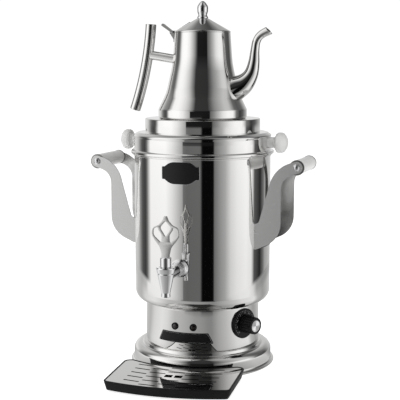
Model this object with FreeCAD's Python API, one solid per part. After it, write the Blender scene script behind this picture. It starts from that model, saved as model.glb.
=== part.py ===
"""Electric tea urn: a water tank on a heated foot, a lid that carries a teapot, a tap and a drip tray."""
import FreeCAD, Part
import math
import os

Vector = FreeCAD.Vector

# All sizes are millimetres.
# The origin is on the urn's upright axis, at the level of the table.
# The tap is at the front, on -Y, the teapot's spout on +X and its handle on -X.

# Clearances
thread_clearance = 0.08      # a fastener in its hole, per side
running_clearance = 0.06     # a shaft or plug that turns in its bore, per side
seat_clearance = 0.4         # a lift-off part in its seat, per side
lid_gap = 0.3                # under the teapot's lid
knob_gap = 0.6               # between the dial plate and the knob

# Foot
foot_sheet = 1.2
foot_radius = 118.7
foot_flare = 5.3             # how far the rolled lip stands out of the foot's wall
foot_flare_rounding = 4.8
foot_lip_drop = 1.6          # how far the lip hangs below the wall, to hide the base plate
foot_lip_width = 4.4
foot_lip_height = 2.4
foot_return_width = 17.0
foot_height = 35.0
foot_band_height = 5.6
foot_band_taper = 1.4
foot_shoulder_slope = 0.5
foot_shoulder_rounding = 11.0
foot_top_margin = 4.5        # from the housing's wall to the edge of the foot's flat top
rubber_foot_height = 1.8
rubber_foot_radius = 10.0
rubber_foot_inset = 32.0
rubber_foot_neck_radius = 4.0
rubber_foot_barb_radius = 5.6
rubber_foot_barb_height = 2.4
rubber_foot_count = 4
screw_drill_reach = 20.0
base_plate_thickness = 1.2
base_plate_edge_gap = 7.0
vent_count = 5
vent_length = 44.0
vent_width = 4.0
vent_pitch = 9.0
case_screw_radius = 1.75
case_screw_head_radius = 3.2
case_screw_head_height = 1.3
case_screw_length = 8.0
case_screw_count = 4
base_screw_turn = 45.0
ledge_screw_turn = 20.0

# Control housing
housing_radius = 97.5
housing_sheet = 1.0
housing_height = 70.0
housing_flange_width = 14.0
housing_edge_rounding = 1.2
flange_screw_inset = 9.5     # from the housing's wall to the screws and studs in its flanges
lamp_spread_angle = 9.4
lamp_height = 41.7
lamp_bezel_radius = 6.1
lamp_bezel_depth = 2.2
lamp_lens_radius = 4.1
lamp_lens_proud = 0.9
lamp_socket_radius = 4.9
lamp_socket_length = 20.0
label_height = 17.8
label_bottom = 14.2
label_top_width = 78.6
label_bottom_width = 96.4
label_thickness = 0.6
label_corner = 1.5
label_glue = 0.05            # between the label plate and the housing
dial_angle = 63.5
dial_height = 42.0
dial_radius = 25.4
dial_thickness = 2.4
dial_hole_radius = 4.4
knob_radius = 15.0
knob_length = 24.5
knob_insert_radius = 10.0
knob_insert_depth = 1.6
knob_insert_proud = 0.5
knob_flute_count = 18
knob_flute_radius = 1.5
knob_flute_stop = 2.5
knob_taper = 0.8
shaft_radius = 3.0
shaft_engagement = 12.0
shaft_depth_in_body = 12.0
thermostat_width = 34.0
thermostat_length = 20.0
thermostat_nose_radius = 5.5
thermostat_nose_length = 4.2
bracket_sheet = 1.2
bracket_width = 46.0
bracket_height = 40.0
bracket_standoff = 9.0
bracket_screw_spacing = 28.0
bracket_screw_radius = 1.6
bracket_screw_head_radius = 3.0
bracket_screw_head_height = 1.8
bracket_screw_length = 7.0
gland_height = 23.0
gland_thread_radius = 6.0
gland_head_radius = 8.4
gland_head_length = 13.0
gland_head_taper = 2.2
gland_flange_radius = 10.4
gland_flange_depth = 3.0
gland_bore_radius = 3.8
gland_nut_flats = 17.0
gland_nut_thickness = 4.0
gland_thread_length = 12.0

# Tank
tank_radius = 116.0
tank_sheet = 1.0
tank_height = 253.0
tank_corner_radius = 20.0
rim_width = 2.0
rim_height = 3.2
stud_count = 3
stud_turn = 30.0
stud_radius = 2.5
stud_length = 13.0
stud_nut_flats = 8.0
stud_nut_thickness = 4.0

# Heater and controls under the tank
element_circle = 62.0
element_tube_radius = 4.0
element_rise = 20.0
element_gap_angle = 34.0
element_leg_drop = 20.0
bush_radius = 6.5
bush_flange_radius = 9.5
bush_flange_thickness = 2.0
bush_drop = 9.0
element_gasket_thickness = 1.8
element_nut_flats = 19.0
element_nut_thickness = 5.0
bulb_radius = 3.0
bulb_length = 56.0
bulb_place_y = 22.0
capillary_radius = 1.0
capillary_bend = 4.5
clip_sheet = 1.0
clip_width = 12.0
clip_ear = 8.0
cutout_radius = 9.0
cutout_height = 8.0
cutout_flange_width = 32.0
cutout_flange_thickness = 1.2
cutout_place = (-34.0, -24.0)
cutout_tab_width = 6.3
cutout_tab_length = 8.0
cutout_tab_thickness = 0.8
block_length = 44.0
block_width = 18.0
block_height = 15.0
block_place = (-30.0, 52.0)
block_pole_count = 3
block_pole_radius = 3.2

# Carrying handles
handle_sheet = 2.0
grip_offset = 59.3           # from the tank's wall to the grip's middle line
grip_rise = 236.7            # from the tank's underside to the grip's middle line
grip_radius = 12.0
grip_length = 92.0
grip_end_rounding = 1.6
handle_web_rise = 99.5
handle_web_height = 42.5
wing_root_depth = 14.0       # how far a wing's blank runs in behind the tank's outermost line
wing_belly_offset = 33.5
wing_belly_rise = 18.5
wing_belly_rounding = 40.0
wing_shoulder_drop = 18.5
wing_shoulder_rounding = 24.0
wing_tab_reach = 10.2
wing_tab_low = 6.7
wing_tab_high = 13.1
wing_tab_rounding = 10.0
wing_neck_inset = 36.4
wing_neck_rounding = 50.0
wing_crook_inset = 3.7
wing_crook_rounding = 8.0
grip_rod_radius = 3.0
dome_nut_radius = 6.0
dome_nut_height = 5.0

# Tap
tap_reach = 65.0
tap_port_rise = 74.0         # from the tank's underside to the shank's middle line
tap_top_rise = 14.6          # from the shank's middle line to the body's top
tap_bottom_drop = 33.2
tap_top_radius = 15.2
tap_top_band = 1.6
tap_groove_rise = 4.8
tap_groove_radius = 13.2
tap_groove_depth = 0.6
tap_groove_width = 1.8
tap_nozzle_length = 7.2
tap_nozzle_radius = 7.1
tap_bore_radius = 4.6
outlet_length = 11.2
plug_top_radius = 9.0
plug_bottom_radius = 6.0
plug_stem_radius = 4.0
bonnet_lip = 1.8
bonnet_thickness = 6.6
collar_radius = 8.8
collar_height = 15.7
shank_radius = 8.0
shank_inside_length = 12.5
tap_neck_radius = 8.6
tap_ring_radius = 10.4
tap_ring_width = 3.6
tap_nut_radius = 11.6
tap_nut_width = 5.0
tap_nut_rounding = 0.8
escutcheon_radius = 15.2
escutcheon_depth = 7.5
escutcheon_edge = 1.2
tap_gasket_radius = 12.5
tap_gasket_thickness = 1.5
inner_gasket_thickness = 2.5
lock_nut_flats = 24.0
lock_nut_thickness = 6.0
key_thickness = 2.0
key_height = 64.8
key_width = 46.4
key_foot_width = 13.6
key_foot_depth = 7.0
key_pin_radius = 1.2

# Urn lid
lid_sheet = 1.0
lid_skirt_depth = 9.0
lid_flange_overhang = 5.5    # past the tank's wall
lid_flange_height = 5.6
lid_wall_overhang = 0.3
lid_wall_height = 21.4
lid_shoulder_overhang = 1.3
lid_shoulder_height = 4.4
lid_shoulder_slope_width = 7.0
lid_height = 36.0
lid_seat_overlap = 9.7       # how far the lid's top runs in under the seat
seat_radius = 97.7
seat_height = 23.0
seat_ledge = 11.0            # what of the seat's top the teapot's base stands on
seat_collar_depth = 9.0
lid_knob_height = 20.0
lid_knob_neck_radius = 9.6
lid_knob_radius = 17.2
lid_knob_neck_length = 11.5
lid_knob_depth = 21.0
lid_knob_back = 3.0
lid_knob_crown = 7.0
lid_knob_flat_radius = 7.7
lid_knob_screw_radius = 2.5
lid_knob_screw_length = 20.0
lid_knob_screw_head_radius = 4.6
lid_knob_screw_head_height = 3.0
lid_knob_washer_radius = 6.5
lid_knob_washer_thickness = 1.2

# Teapot
pot_sheet = 1.0
pot_base_radius = 75.0
pot_band_height = 15.0
pot_waist_radius = 61.5
pot_waist_height = 43.0
pot_neck_radius = 50.5
pot_neck_height = 92.0
pot_mouth_radius = 47.0
pot_height = 142.5
pot_spigot_depth = 6.0
pot_flange_width = 7.8
strainer_hole_radius = 1.8
strainer_ring_radii = (0.0, 5.5, 11.0)
strainer_hole_pitch = 6.0
strainer_rise = 1.0
strainer_drill_start = 40.0
strainer_drill_length = 40.0
spout_sheet = 1.0
spout_tip = (114.2, 145.2)
spout_tip_lean = 46.0
spout_tip_cut = 60.0
pot_handle_tube_radius = 9.4
pot_handle_wall = 1.2
pot_handle_top = (-93.0, 158.0)
pot_handle_middle = (-103.0, 85.0)
pot_handle_bottom = (-123.5, 12.5)
strut_radius = 7.7
strut_wall = 1.2
strut_outer_end = (-98.0, 106.5)
strut_inner_end = (-44.0, 97.8)

# Teapot lid and its hinge
pot_lid_skirt_depth = 5.6
pot_lid_skirt_clearance = 1.1
pot_lid_edge_height = 2.3
pot_lid_edge_overhang = 0.4
pot_lid_cone_rise = 23.4
pot_lid_land_radius = 10.0
hinge_offset = 6.4           # from the teapot's mouth to the hinge pin
hinge_rise = 0.9
knuckle_radius = 3.2
hinge_pin_radius = 1.2
hinge_width = 15.0
hinge_middle_width = 7.0
hinge_side_gap = 0.3
hinge_plate_height = 15.0
hinge_plate_thickness = 1.4
strap_width = 9.0
strap_thickness = 1.3
strap_end_radius = 21.0
lever_tip = (-19.0, 14.2)
lever_thickness = 3.4
finial_ring_radius = 9.4
finial_height = 28.8
finial_radius = 9.1
finial_neck_radius = 7.2
finial_stud_radius = 2.0
finial_rivet_radius = 4.0
finial_rivet_height = 1.6
finial_ring_height = 2.4
finial_neck_rise = 5.6
finial_belly_rise = 10.5
finial_shoulder_rise = 20.0
finial_cap_radius = 5.4
finial_cap_drop = 2.8

# Drip tray
tray_gap = 4.0                # between the foot's wall and the middle of the tray's bowed back edge
tray_place_x = 4.0            # the loose tray stands this far to the right of the tap
tray_turn = 5.2               # and a few degrees askew, about the middle of its back edge
tray_width = 204.8
tray_side_depth = 129.4
tray_depth = 112.4
tray_front_bow = 15.4
tray_height = 16.0
tray_draft = 4.0
tray_wall = 3.0
tray_ledge_width = 1.2
tray_floor = 2.0
tray_front_corner = 10.0
tray_back_corner = 12.0
tray_bow_share = 0.7         # how far a bowed edge's tangents meet past its middle
tray_pad_height = 3.0
tray_pad_radius = 6.0
tray_pad_inset = 18.0
tray_back_pad_inset = 24.0
grille_thickness = 1.0
grille_recess = 0.7
grille_clearance = 0.35
slot_length = 28.0
slot_width = 3.6
slot_column_pitch = 29.6
slot_column_count = 5
slot_row_pitch = 20.8
slot_row_count = 5
slot_first_row = 7.2
slot_row_radius = 280.0       # the rows bow like the tray's front edge
finger_hole_size = 12.6
finger_hole_gap = 3.6

# Levels and places worked out from the sizes above
base_underside = rubber_foot_height
foot_underside = base_underside + base_plate_thickness
foot_top = foot_underside + foot_height
foot_flange_radius = foot_radius + foot_flare
foot_top_radius = housing_radius + foot_top_margin
rubber_foot_circle = foot_flange_radius - rubber_foot_inset
housing_top = foot_top + housing_height
housing_opening_radius = housing_radius - housing_flange_width
stud_circle = housing_radius - flange_screw_inset
tank_underside = housing_top
tank_floor = tank_underside + tank_sheet
tank_top = tank_underside + tank_height
tank_inner_radius = tank_radius - tank_sheet
grip_reach = tank_radius + grip_offset
grip_height = tank_underside + grip_rise
handle_web_low = tank_underside + handle_web_rise
handle_web_high = handle_web_low + handle_web_height
tap_axis_y = -(tank_radius + tap_reach)
tap_port_height = tank_underside + tap_port_rise
tap_top_height = tap_port_height + tap_top_rise
tap_bottom_height = tap_port_height - tap_bottom_drop
tap_groove_height = tap_port_height + tap_groove_rise
plug_top_height = tap_top_height - bonnet_thickness
plug_bottom_height = tap_bottom_height + outlet_length
bonnet_radius = plug_top_radius + bonnet_lip
lid_flange_radius = tank_radius + lid_flange_overhang
lid_wall_radius = tank_radius + lid_wall_overhang
lid_opening_radius = seat_radius - lid_seat_overlap
lid_top = tank_top + lid_height
seat_top = lid_top + seat_height
seat_opening_radius = pot_base_radius - seat_ledge
pot_spigot_radius = seat_opening_radius - seat_clearance
pot_mouth = seat_top + pot_height
pot_lid_underside = pot_mouth + lid_gap
pot_lid_land = pot_lid_underside + pot_lid_cone_rise
hinge_reach = pot_mouth_radius + hinge_offset
hinge_height = pot_mouth + hinge_rise
tray_top = tray_pad_height + tray_height
tray_back_y = -(foot_radius + tray_gap)
tray_front_y = tray_back_y - tray_depth
dial_back = housing_radius * math.cos(math.asin(dial_radius / housing_radius))
dial_front = housing_radius + dial_thickness
knob_back = dial_front + knob_gap
bracket_front = housing_radius - housing_sheet - bracket_standoff


# Simple solids

def cylinder(radius, low, high, x=0.0, y=0.0):
    return Part.makeCylinder(radius, high - low, Vector(x, y, low))


def ring(outer, inner, low, high, x=0.0, y=0.0):
    return cylinder(outer, low, high, x, y).cut(cylinder(inner, low - 1, high + 1, x, y))


def block(x_low, x_high, y_low, y_high, z_low, z_high):
    return Part.makeBox(x_high - x_low, y_high - y_low, z_high - z_low, Vector(x_low, y_low, z_low))


def prism(sides, across_flats, low, high):
    corner_radius = across_flats / 2 / math.cos(math.pi / sides)
    corners = []
    for i in range(sides + 1):
        angle = 2 * math.pi * i / sides
        corners.append(Vector(corner_radius * math.cos(angle), corner_radius * math.sin(angle), low))
    return Part.Face(Part.makePolygon(corners)).extrude(Vector(0, 0, high - low))


def joined(shapes):
    first = shapes[0]
    if len(shapes) == 1:
        return first
    return first.fuse(shapes[1:]).removeSplitter()


def group(shapes):
    return Part.makeCompound(shapes)


# Outlines with rounded corners

def corner_reaches(corners, closed):
    """How far each corner's arc reaches along its runs, eased where two arcs would meet."""
    count = len(corners)
    reaches = []
    for i, (place, rounding) in enumerate(corners):
        if rounding <= 0 or (not closed and i in (0, count - 1)):
            reaches.append(0.0)
            continue
        back = corners[i - 1][0] - place
        ahead = corners[(i + 1) % count][0] - place
        reaches.append(rounding / math.tan(back.getAngle(ahead) / 2))
    for i in range(count if closed else count - 1):
        following = (i + 1) % count
        length = (corners[following][0] - corners[i][0]).Length
        wanted = reaches[i] + reaches[following]
        if wanted > length:
            reaches[i] *= 0.999 * length / wanted
            reaches[following] *= 0.999 * length / wanted
    return reaches


def rounded_edges(corners, closed=False):
    """Lines joined by tangent arcs; each corner is a place and its rounding."""
    count = len(corners)
    reaches = corner_reaches(corners, closed)
    starts = []
    ends = []
    arcs = []
    for i, (place, rounding) in enumerate(corners):
        reach = reaches[i]
        if reach <= 0:
            starts.append(place)
            ends.append(place)
            arcs.append(None)
            continue
        back = (corners[i - 1][0] - place).normalize()
        ahead = (corners[(i + 1) % count][0] - place).normalize()
        half_angle = back.getAngle(ahead) / 2
        radius = reach * math.tan(half_angle)
        start = place + back * reach
        end = place + ahead * reach
        to_centre = (back + ahead).normalize()
        middle = place + to_centre * (radius / math.sin(half_angle) - radius)
        starts.append(start)
        ends.append(end)
        arcs.append(Part.Arc(start, middle, end).toShape())
    outline = []
    for i in range(count):
        if arcs[i] is not None:
            outline.append(arcs[i])
        if i == count - 1 and not closed:
            break
        following = (i + 1) % count
        if ends[i].distanceToPoint(starts[following]) > 1e-6:
            outline.append(Part.LineSegment(ends[i], starts[following]).toShape())
    return outline


def inset_corners(corners, distance, closed=False):
    """The corners of a flat outline, given as two coordinates and a rounding, moved to its left."""
    count = len(corners)
    moved = []
    for i in range(count):
        here = corners[i]
        before = corners[i - 1] if (closed or i > 0) else None
        after = corners[(i + 1) % count] if (closed or i < count - 1) else None
        normals = []
        for start, end in ((before, here), (here, after)):
            if start is None or end is None:
                continue
            step_u = end[0] - start[0]
            step_v = end[1] - start[1]
            length = math.hypot(step_u, step_v)
            normals.append((-step_v / length, step_u / length))
        if len(normals) == 1:
            normal = normals[0]
            moved.append((here[0] + normal[0] * distance, here[1] + normal[1] * distance, 0))
            continue
        first, second = normals
        shared = 1 + first[0] * second[0] + first[1] * second[1]
        u = here[0] + (first[0] + second[0]) * distance / shared
        v = here[1] + (first[1] + second[1]) * distance / shared
        turn = first[0] * second[1] - first[1] * second[0]
        rounding = here[2] - distance if turn > 0 else here[2] + distance
        moved.append((u, v, max(rounding, 0) if here[2] > 0 or turn < 0 else 0))
    return moved


def upright(corners):
    """Corners in the plane y = 0, from radius, height and rounding."""
    return [(Vector(r, 0, z), rounding) for r, z, rounding in corners]


def outward(solid):
    if solid.Volume < 0:
        solid.reverse()
    return solid


def turned(corners):
    """A solid turned about the upright axis from a closed half section."""
    face = Part.Face(Part.Wire(rounded_edges(upright(corners), closed=True)))
    return outward(face.revolve(Vector(0, 0, 0), Vector(0, 0, 1), 360))


def spun_sheet(corners, thickness):
    """Sheet metal spun about the upright axis; the corners follow its outer side, metal on their left."""
    inner = inset_corners(corners, thickness)
    outer_edges = rounded_edges(upright(corners))
    inner_edges = rounded_edges(upright(inner))
    start = Part.LineSegment(upright(inner)[0][0], upright(corners)[0][0]).toShape()
    end = Part.LineSegment(upright(corners)[-1][0], upright(inner)[-1][0]).toShape()
    wire = Part.Wire(Part.__sortEdges__(outer_edges + [end] + inner_edges + [start]))
    return outward(Part.Face(wire).revolve(Vector(0, 0, 0), Vector(0, 0, 1), 360))


def filled(corners):
    """The solid inside a spun sheet's outer side, closed along the axis."""
    outline = list(corners)
    if corners[0][0] > 0:
        outline = [(0, corners[0][1], 0)] + outline
    if corners[-1][0] > 0:
        outline = outline + [(0, corners[-1][1], 0)]
    return turned(outline)


def slab(corners, thickness, plane="xy", level=0.0):
    """A flat plate with a rounded outline; its thickness grows along +Z, or +Y for an xz plate."""
    if plane == "xy":
        places = [(Vector(u, v, level), rounding) for u, v, rounding in corners]
        growth = Vector(0, 0, thickness)
    else:
        places = [(Vector(u, level, v), rounding) for u, v, rounding in corners]
        growth = Vector(0, thickness, 0)
    return outward(Part.Face(Part.Wire(rounded_edges(places, closed=True))).extrude(growth))


def tube_along(places, radius, bend):
    """A round tube that follows straight runs joined by arcs."""
    path = Part.Wire(rounded_edges([(place, bend) for place in places]))
    section = Part.Wire(Part.Circle(places[0], places[1] - places[0], radius).toShape())
    return outward(path.makePipeShell([section], True, False))


# Placing

def radial(shape, azimuth, height):
    """Turn a piece built along +Z so that it points out from the axis; 0 is the front, 90 is +X."""
    angle = math.radians(azimuth)
    out = Vector(math.sin(angle), -math.cos(angle), 0)
    up = Vector(0, 0, 1)
    across = up.cross(out)
    matrix = FreeCAD.Matrix(
        across.x, up.x, out.x, 0,
        across.y, up.y, out.y, 0,
        across.z, up.z, out.z, height,
        0, 0, 0, 1)
    moved = shape.copy()
    moved.Placement = FreeCAD.Placement(matrix).multiply(moved.Placement)
    return moved


def around(shape, count, first_angle=0.0):
    copies = []
    for i in range(count):
        copy = shape.copy()
        copy.rotate(Vector(0, 0, 0), Vector(0, 0, 1), first_angle + 360.0 * i / count)
        copies.append(copy)
    return copies


def mirrored_in_x(shape):
    return shape.mirror(Vector(0, 0, 0), Vector(1, 0, 0))


# Foot and base

def foot_section():
    shoulder = foot_top - foot_band_height
    return [
        (foot_flange_radius - foot_return_width, foot_underside, 0),
        (foot_radius, foot_underside, 0.4),
        (foot_radius, shoulder - foot_shoulder_slope, foot_shoulder_rounding),
        (foot_top_radius + foot_band_taper, shoulder, 1.5),
        (foot_top_radius, foot_top, 0.8),
        (housing_opening_radius, foot_top, 0),
    ]


def foot_lip():
    """The rolled edge that the foot's wall flares out into."""
    inner = foot_radius - foot_sheet / 2
    low = foot_underside - foot_lip_drop
    lip_top = low + foot_lip_height
    lip_root = foot_flange_radius - foot_lip_width
    return turned([
        (inner, foot_underside, 0),
        (lip_root, foot_underside, 0.4),
        (lip_root + foot_lip_drop, low, 0.4),
        (foot_flange_radius, low, 0.8),
        (foot_flange_radius, lip_top, 0.8),
        (foot_radius, lip_top, foot_flare_rounding),
        (foot_radius, lip_top + foot_flare_rounding + 1, 0),
        (inner, lip_top + foot_flare_rounding + 1, 0),
    ])


def base_screw_circle():
    return foot_flange_radius - foot_return_width + (foot_return_width - base_plate_edge_gap) / 2


def base_screw_holes():
    hole = cylinder(case_screw_radius + thread_clearance, 0, foot_underside + screw_drill_reach,
                    base_screw_circle(), 0)
    return around(hole, case_screw_count, base_screw_turn)


def ledge_screw_holes():
    hole = cylinder(case_screw_radius + thread_clearance, foot_top - screw_drill_reach,
                    foot_top + screw_drill_reach, stud_circle, 0)
    return around(hole, case_screw_count, ledge_screw_turn)


def foot_shell():
    shell = joined([spun_sheet(foot_section(), foot_sheet), foot_lip()])
    return shell.cut(base_screw_holes() + ledge_screw_holes())


def base_plate():
    plate = cylinder(foot_flange_radius - base_plate_edge_gap, base_underside, foot_underside)
    neck_hole = cylinder(rubber_foot_neck_radius, 0, foot_underside + 1, rubber_foot_circle, 0)
    vents = []
    for row in range(vent_count):
        y = (row - (vent_count - 1) / 2) * vent_pitch
        vents.append(block(-vent_length / 2, vent_length / 2, y - vent_width / 2, y + vent_width / 2,
                           base_underside - 1, foot_underside + 1))
    return plate.cut(base_screw_holes() + around(neck_hole, rubber_foot_count) + vents)


def pan_screw(radius, length, head_radius, head_height):
    """A screw along +Z with its head below the origin."""
    return joined([cylinder(head_radius, -head_height, 0), cylinder(radius, -0.2, length)])


def case_screws():
    """Like screws: four hold the base plate and four hold the housing to the foot."""
    screws = []
    for circle, level, turn in ((base_screw_circle(), base_underside, base_screw_turn),
                                (stud_circle, foot_top - foot_sheet, ledge_screw_turn)):
        screw = pan_screw(case_screw_radius, case_screw_length,
                          case_screw_head_radius, case_screw_head_height)
        screw.translate(Vector(circle, 0, level))
        screws += around(screw, case_screw_count, turn)
    return group(screws)


def rubber_feet():
    pad = cylinder(rubber_foot_radius, 0, base_underside, rubber_foot_circle, 0)
    neck = cylinder(rubber_foot_neck_radius, base_underside - 0.1, foot_underside + 0.1,
                    rubber_foot_circle, 0)
    barb = Part.makeCone(rubber_foot_barb_radius, rubber_foot_neck_radius - 1, rubber_foot_barb_height,
                         Vector(rubber_foot_circle, 0, foot_underside))
    return group(around(joined([pad, neck, barb]), rubber_foot_count))


# Control housing

def housing_section():
    return [
        (housing_opening_radius, foot_top, 0),
        (housing_radius, foot_top, housing_edge_rounding),
        (housing_radius, housing_top, housing_edge_rounding),
        (housing_opening_radius, housing_top, 0),
    ]


def stud_holes():
    hole = cylinder(stud_radius + thread_clearance, tank_underside - screw_drill_reach, tank_underside + 1,
                    stud_circle, 0)
    return around(hole, stud_count, stud_turn)


def lamp_azimuths():
    return (-lamp_spread_angle, lamp_spread_angle)


def control_housing():
    shell = spun_sheet(housing_section(), housing_sheet)
    holes = stud_holes() + ledge_screw_holes()
    through = housing_radius + 10
    for azimuth in lamp_azimuths():
        socket = cylinder(lamp_socket_radius + thread_clearance, housing_radius - 10, through)
        holes.append(radial(socket, azimuth, foot_top + lamp_height))
    shaft_hole = cylinder(dial_hole_radius, housing_radius - 10, through)
    holes.append(radial(shaft_hole, dial_angle, foot_top + dial_height))
    gland_hole = cylinder(gland_thread_radius + thread_clearance, housing_radius - 10, through)
    holes.append(radial(gland_hole, 180, foot_top + gland_height))
    return shell.cut(holes)


def housing_core():
    """The space that the housing's outer wall encloses, to seat pieces on its curved face."""
    return cylinder(housing_radius, foot_top - 1, housing_top + 1)


def lamp_bezels():
    bezels = []
    for azimuth in lamp_azimuths():
        flange = cylinder(lamp_bezel_radius, housing_radius - 2, housing_radius + lamp_bezel_depth)
        flange = radial(flange, azimuth, foot_top + lamp_height).cut(housing_core())
        socket = cylinder(lamp_socket_radius, housing_radius - lamp_socket_length, housing_radius + 0.5)
        bezel = joined([flange, radial(socket, azimuth, foot_top + lamp_height)])
        recess = cylinder(lamp_lens_radius, housing_radius - 2, housing_radius + lamp_bezel_depth + 1)
        bezels.append(bezel.cut(radial(recess, azimuth, foot_top + lamp_height)))
    return group(bezels)


def lamp_lenses():
    lenses = []
    front = housing_radius + lamp_bezel_depth
    for azimuth in lamp_azimuths():
        body = cylinder(lamp_lens_radius - thread_clearance, housing_radius - 2, front)
        dome_radius = (lamp_lens_radius ** 2 + lamp_lens_proud ** 2) / (2 * lamp_lens_proud)
        dome = Part.makeSphere(dome_radius, Vector(0, 0, front + lamp_lens_proud - dome_radius))
        dome = dome.common(cylinder(lamp_lens_radius - thread_clearance, front - 0.1, front + 3))
        lenses.append(radial(joined([body, dome]), azimuth, foot_top + lamp_height))
    return group(lenses)


def label_plate():
    low = foot_top + label_bottom
    outline = [
        (-label_bottom_width / 2, low, label_corner),
        (label_bottom_width / 2, low, label_corner),
        (label_top_width / 2, low + label_height, label_corner),
        (-label_top_width / 2, low + label_height, label_corner),
    ]
    front = slab(outline, housing_radius + 10, "xz", -(housing_radius + 10))
    skin = ring(housing_radius + label_thickness, housing_radius + label_glue,
                low - 5, low + label_height + 5)
    return front.common(skin)


def dial_plate():
    disc = cylinder(dial_radius, dial_back - 1, dial_front)
    disc = radial(disc, dial_angle, foot_top + dial_height).cut(housing_core())
    hole = cylinder(dial_hole_radius, dial_back - 5, dial_front + 1)
    return disc.cut(radial(hole, dial_angle, foot_top + dial_height))


def thermostat_knob():
    back = knob_back
    front = back + knob_length
    body = Part.makeCone(knob_radius, knob_radius - knob_taper, knob_length, Vector(0, 0, back))
    flute = cylinder(knob_flute_radius, back + knob_flute_stop, front + 1,
                     knob_radius + knob_flute_radius / 3, 0)
    body = body.cut(around(flute, knob_flute_count))
    insert_hole = cylinder(knob_insert_radius, front - knob_insert_depth, front + 1)
    shaft_hole = cylinder(shaft_radius + thread_clearance, back - 1, back + shaft_engagement)
    body = body.cut([insert_hole, shaft_hole])
    return radial(body, dial_angle, foot_top + dial_height)


def knob_insert():
    front = knob_back + knob_length
    disc = cylinder(knob_insert_radius - thread_clearance, front - knob_insert_depth,
                    front + knob_insert_proud)
    return radial(disc, dial_angle, foot_top + dial_height)


def thermostat_shaft():
    low = bracket_front - shaft_depth_in_body
    rod = cylinder(shaft_radius, low, knob_back + shaft_engagement - 0.3)
    return radial(rod, dial_angle, foot_top + dial_height)


def thermostat_body():
    half = thermostat_width / 2
    front = bracket_front
    case = block(-half, half, -half, half, front - thermostat_length, front)
    nose = cylinder(thermostat_nose_radius, front - 1, front + thermostat_nose_length)
    body = joined([case, nose])
    bore = cylinder(shaft_radius + running_clearance, front - shaft_depth_in_body - 0.5, front + 20)
    screws = bracket_screw_places(bracket_screw_radius + thread_clearance,
                                  front - bracket_screw_length, front + 1)
    return radial(body.cut([bore] + screws), dial_angle, foot_top + dial_height)


def bracket_screw_places(radius, low, high):
    half = bracket_screw_spacing / 2
    return [cylinder(radius, low, high, x, 0) for x in (-half, half)]


def thermostat_bracket():
    half_width = bracket_width / 2
    half_height = bracket_height / 2
    front = bracket_front
    plate = block(-half_width, half_width, -half_height, half_height, front, front + bracket_sheet)
    arms = []
    for side in (-1, 1):
        edge = side * half_width
        inner = edge - side * bracket_sheet
        arms.append(block(min(edge, inner), max(edge, inner), -half_height, half_height,
                          front, housing_radius + 5))
    bracket = joined([plate] + arms)
    nose_hole = cylinder(thermostat_nose_radius + thread_clearance, front - 1, front + 5)
    screw_holes = bracket_screw_places(bracket_screw_radius + thread_clearance, front - 1, front + 5)
    bracket = bracket.cut([nose_hole] + screw_holes)
    bracket = radial(bracket, dial_angle, foot_top + dial_height)
    return bracket.common(cylinder(housing_radius - housing_sheet, foot_top, housing_top))


def bracket_screws():
    screws = []
    half = bracket_screw_spacing / 2
    for x in (-half, half):
        screw = pan_screw(bracket_screw_radius, bracket_screw_length - 1,
                          bracket_screw_head_radius, bracket_screw_head_height)
        screw.rotate(Vector(0, 0, 0), Vector(1, 0, 0), 180)
        screw.translate(Vector(x, 0, bracket_front + bracket_sheet))
        screws.append(radial(screw, dial_angle, foot_top + dial_height))
    return group(screws)


def cord_gland():
    """The gland at the back that the mains lead comes out of."""
    inside = housing_radius - housing_sheet - gland_thread_length
    flange_face = housing_radius + gland_flange_depth
    level = foot_top + gland_height
    flange = cylinder(gland_flange_radius, housing_radius - 1.5, flange_face)
    flange = radial(flange, 180, level).cut(housing_core())
    head = Part.makeCone(gland_head_radius, gland_head_radius - gland_head_taper, gland_head_length,
                         Vector(0, 0, flange_face - 0.01))
    thread = cylinder(gland_thread_radius, inside, flange_face)
    bore = cylinder(gland_bore_radius, inside - 1, flange_face + gland_head_length + 1)
    return joined([flange, radial(joined([head, thread]), 180, level)]).cut(radial(bore, 180, level))


def gland_nut():
    corner = gland_nut_flats / 2 / math.cos(math.pi / 6)
    face = math.sqrt((housing_radius - housing_sheet) ** 2 - corner ** 2)
    nut = prism(6, gland_nut_flats, face - gland_nut_thickness, face)
    nut = nut.cut(cylinder(gland_thread_radius + thread_clearance, face - 20, face + 5))
    return radial(nut, 180, foot_top + gland_height)


# Tank

def tank_section():
    return [
        (0, tank_underside, 0),
        (tank_radius, tank_underside, tank_corner_radius),
        (tank_radius, tank_top, 0),
    ]


def tank_core():
    """Everything inside the tank's outer face."""
    return filled(tank_section())


def tank_face_over(radius):
    """Height of the tank's outer face, seen from below, at a distance from its axis."""
    past = max(0.0, radius - (tank_radius - tank_corner_radius))
    return tank_underside + tank_corner_radius - math.sqrt(tank_corner_radius ** 2 - past ** 2)


def element_legs():
    half_gap = math.radians(element_gap_angle / 2)
    return [(element_circle * math.sin(side * half_gap), element_circle * math.cos(half_gap))
            for side in (-1, 1)]


def tank_shell():
    shell = spun_sheet(tank_section(), tank_sheet)
    rim = ring(tank_radius + rim_width, tank_inner_radius, tank_top - rim_height, tank_top)
    rim = rim.makeFillet(1.2, [edge for edge in rim.Edges
                               if edge.BoundBox.XMax > tank_radius + rim_width - 0.1
                               and edge.BoundBox.ZLength < 0.1])
    stud = cylinder(stud_radius, tank_underside - stud_length, tank_face_over(stud_circle), stud_circle, 0)
    tank = joined([shell, rim] + around(stud, stud_count, stud_turn))
    tap_hole = cylinder(shank_radius + thread_clearance, tank_inner_radius - 10, tank_radius + 10)
    holes = [radial(tap_hole, 0, tap_port_height)]
    for x, y in element_legs():
        holes.append(cylinder(bush_radius + thread_clearance, tank_underside - 1, tank_floor + 1, x, y))
    return tank.cut(holes)


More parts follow.
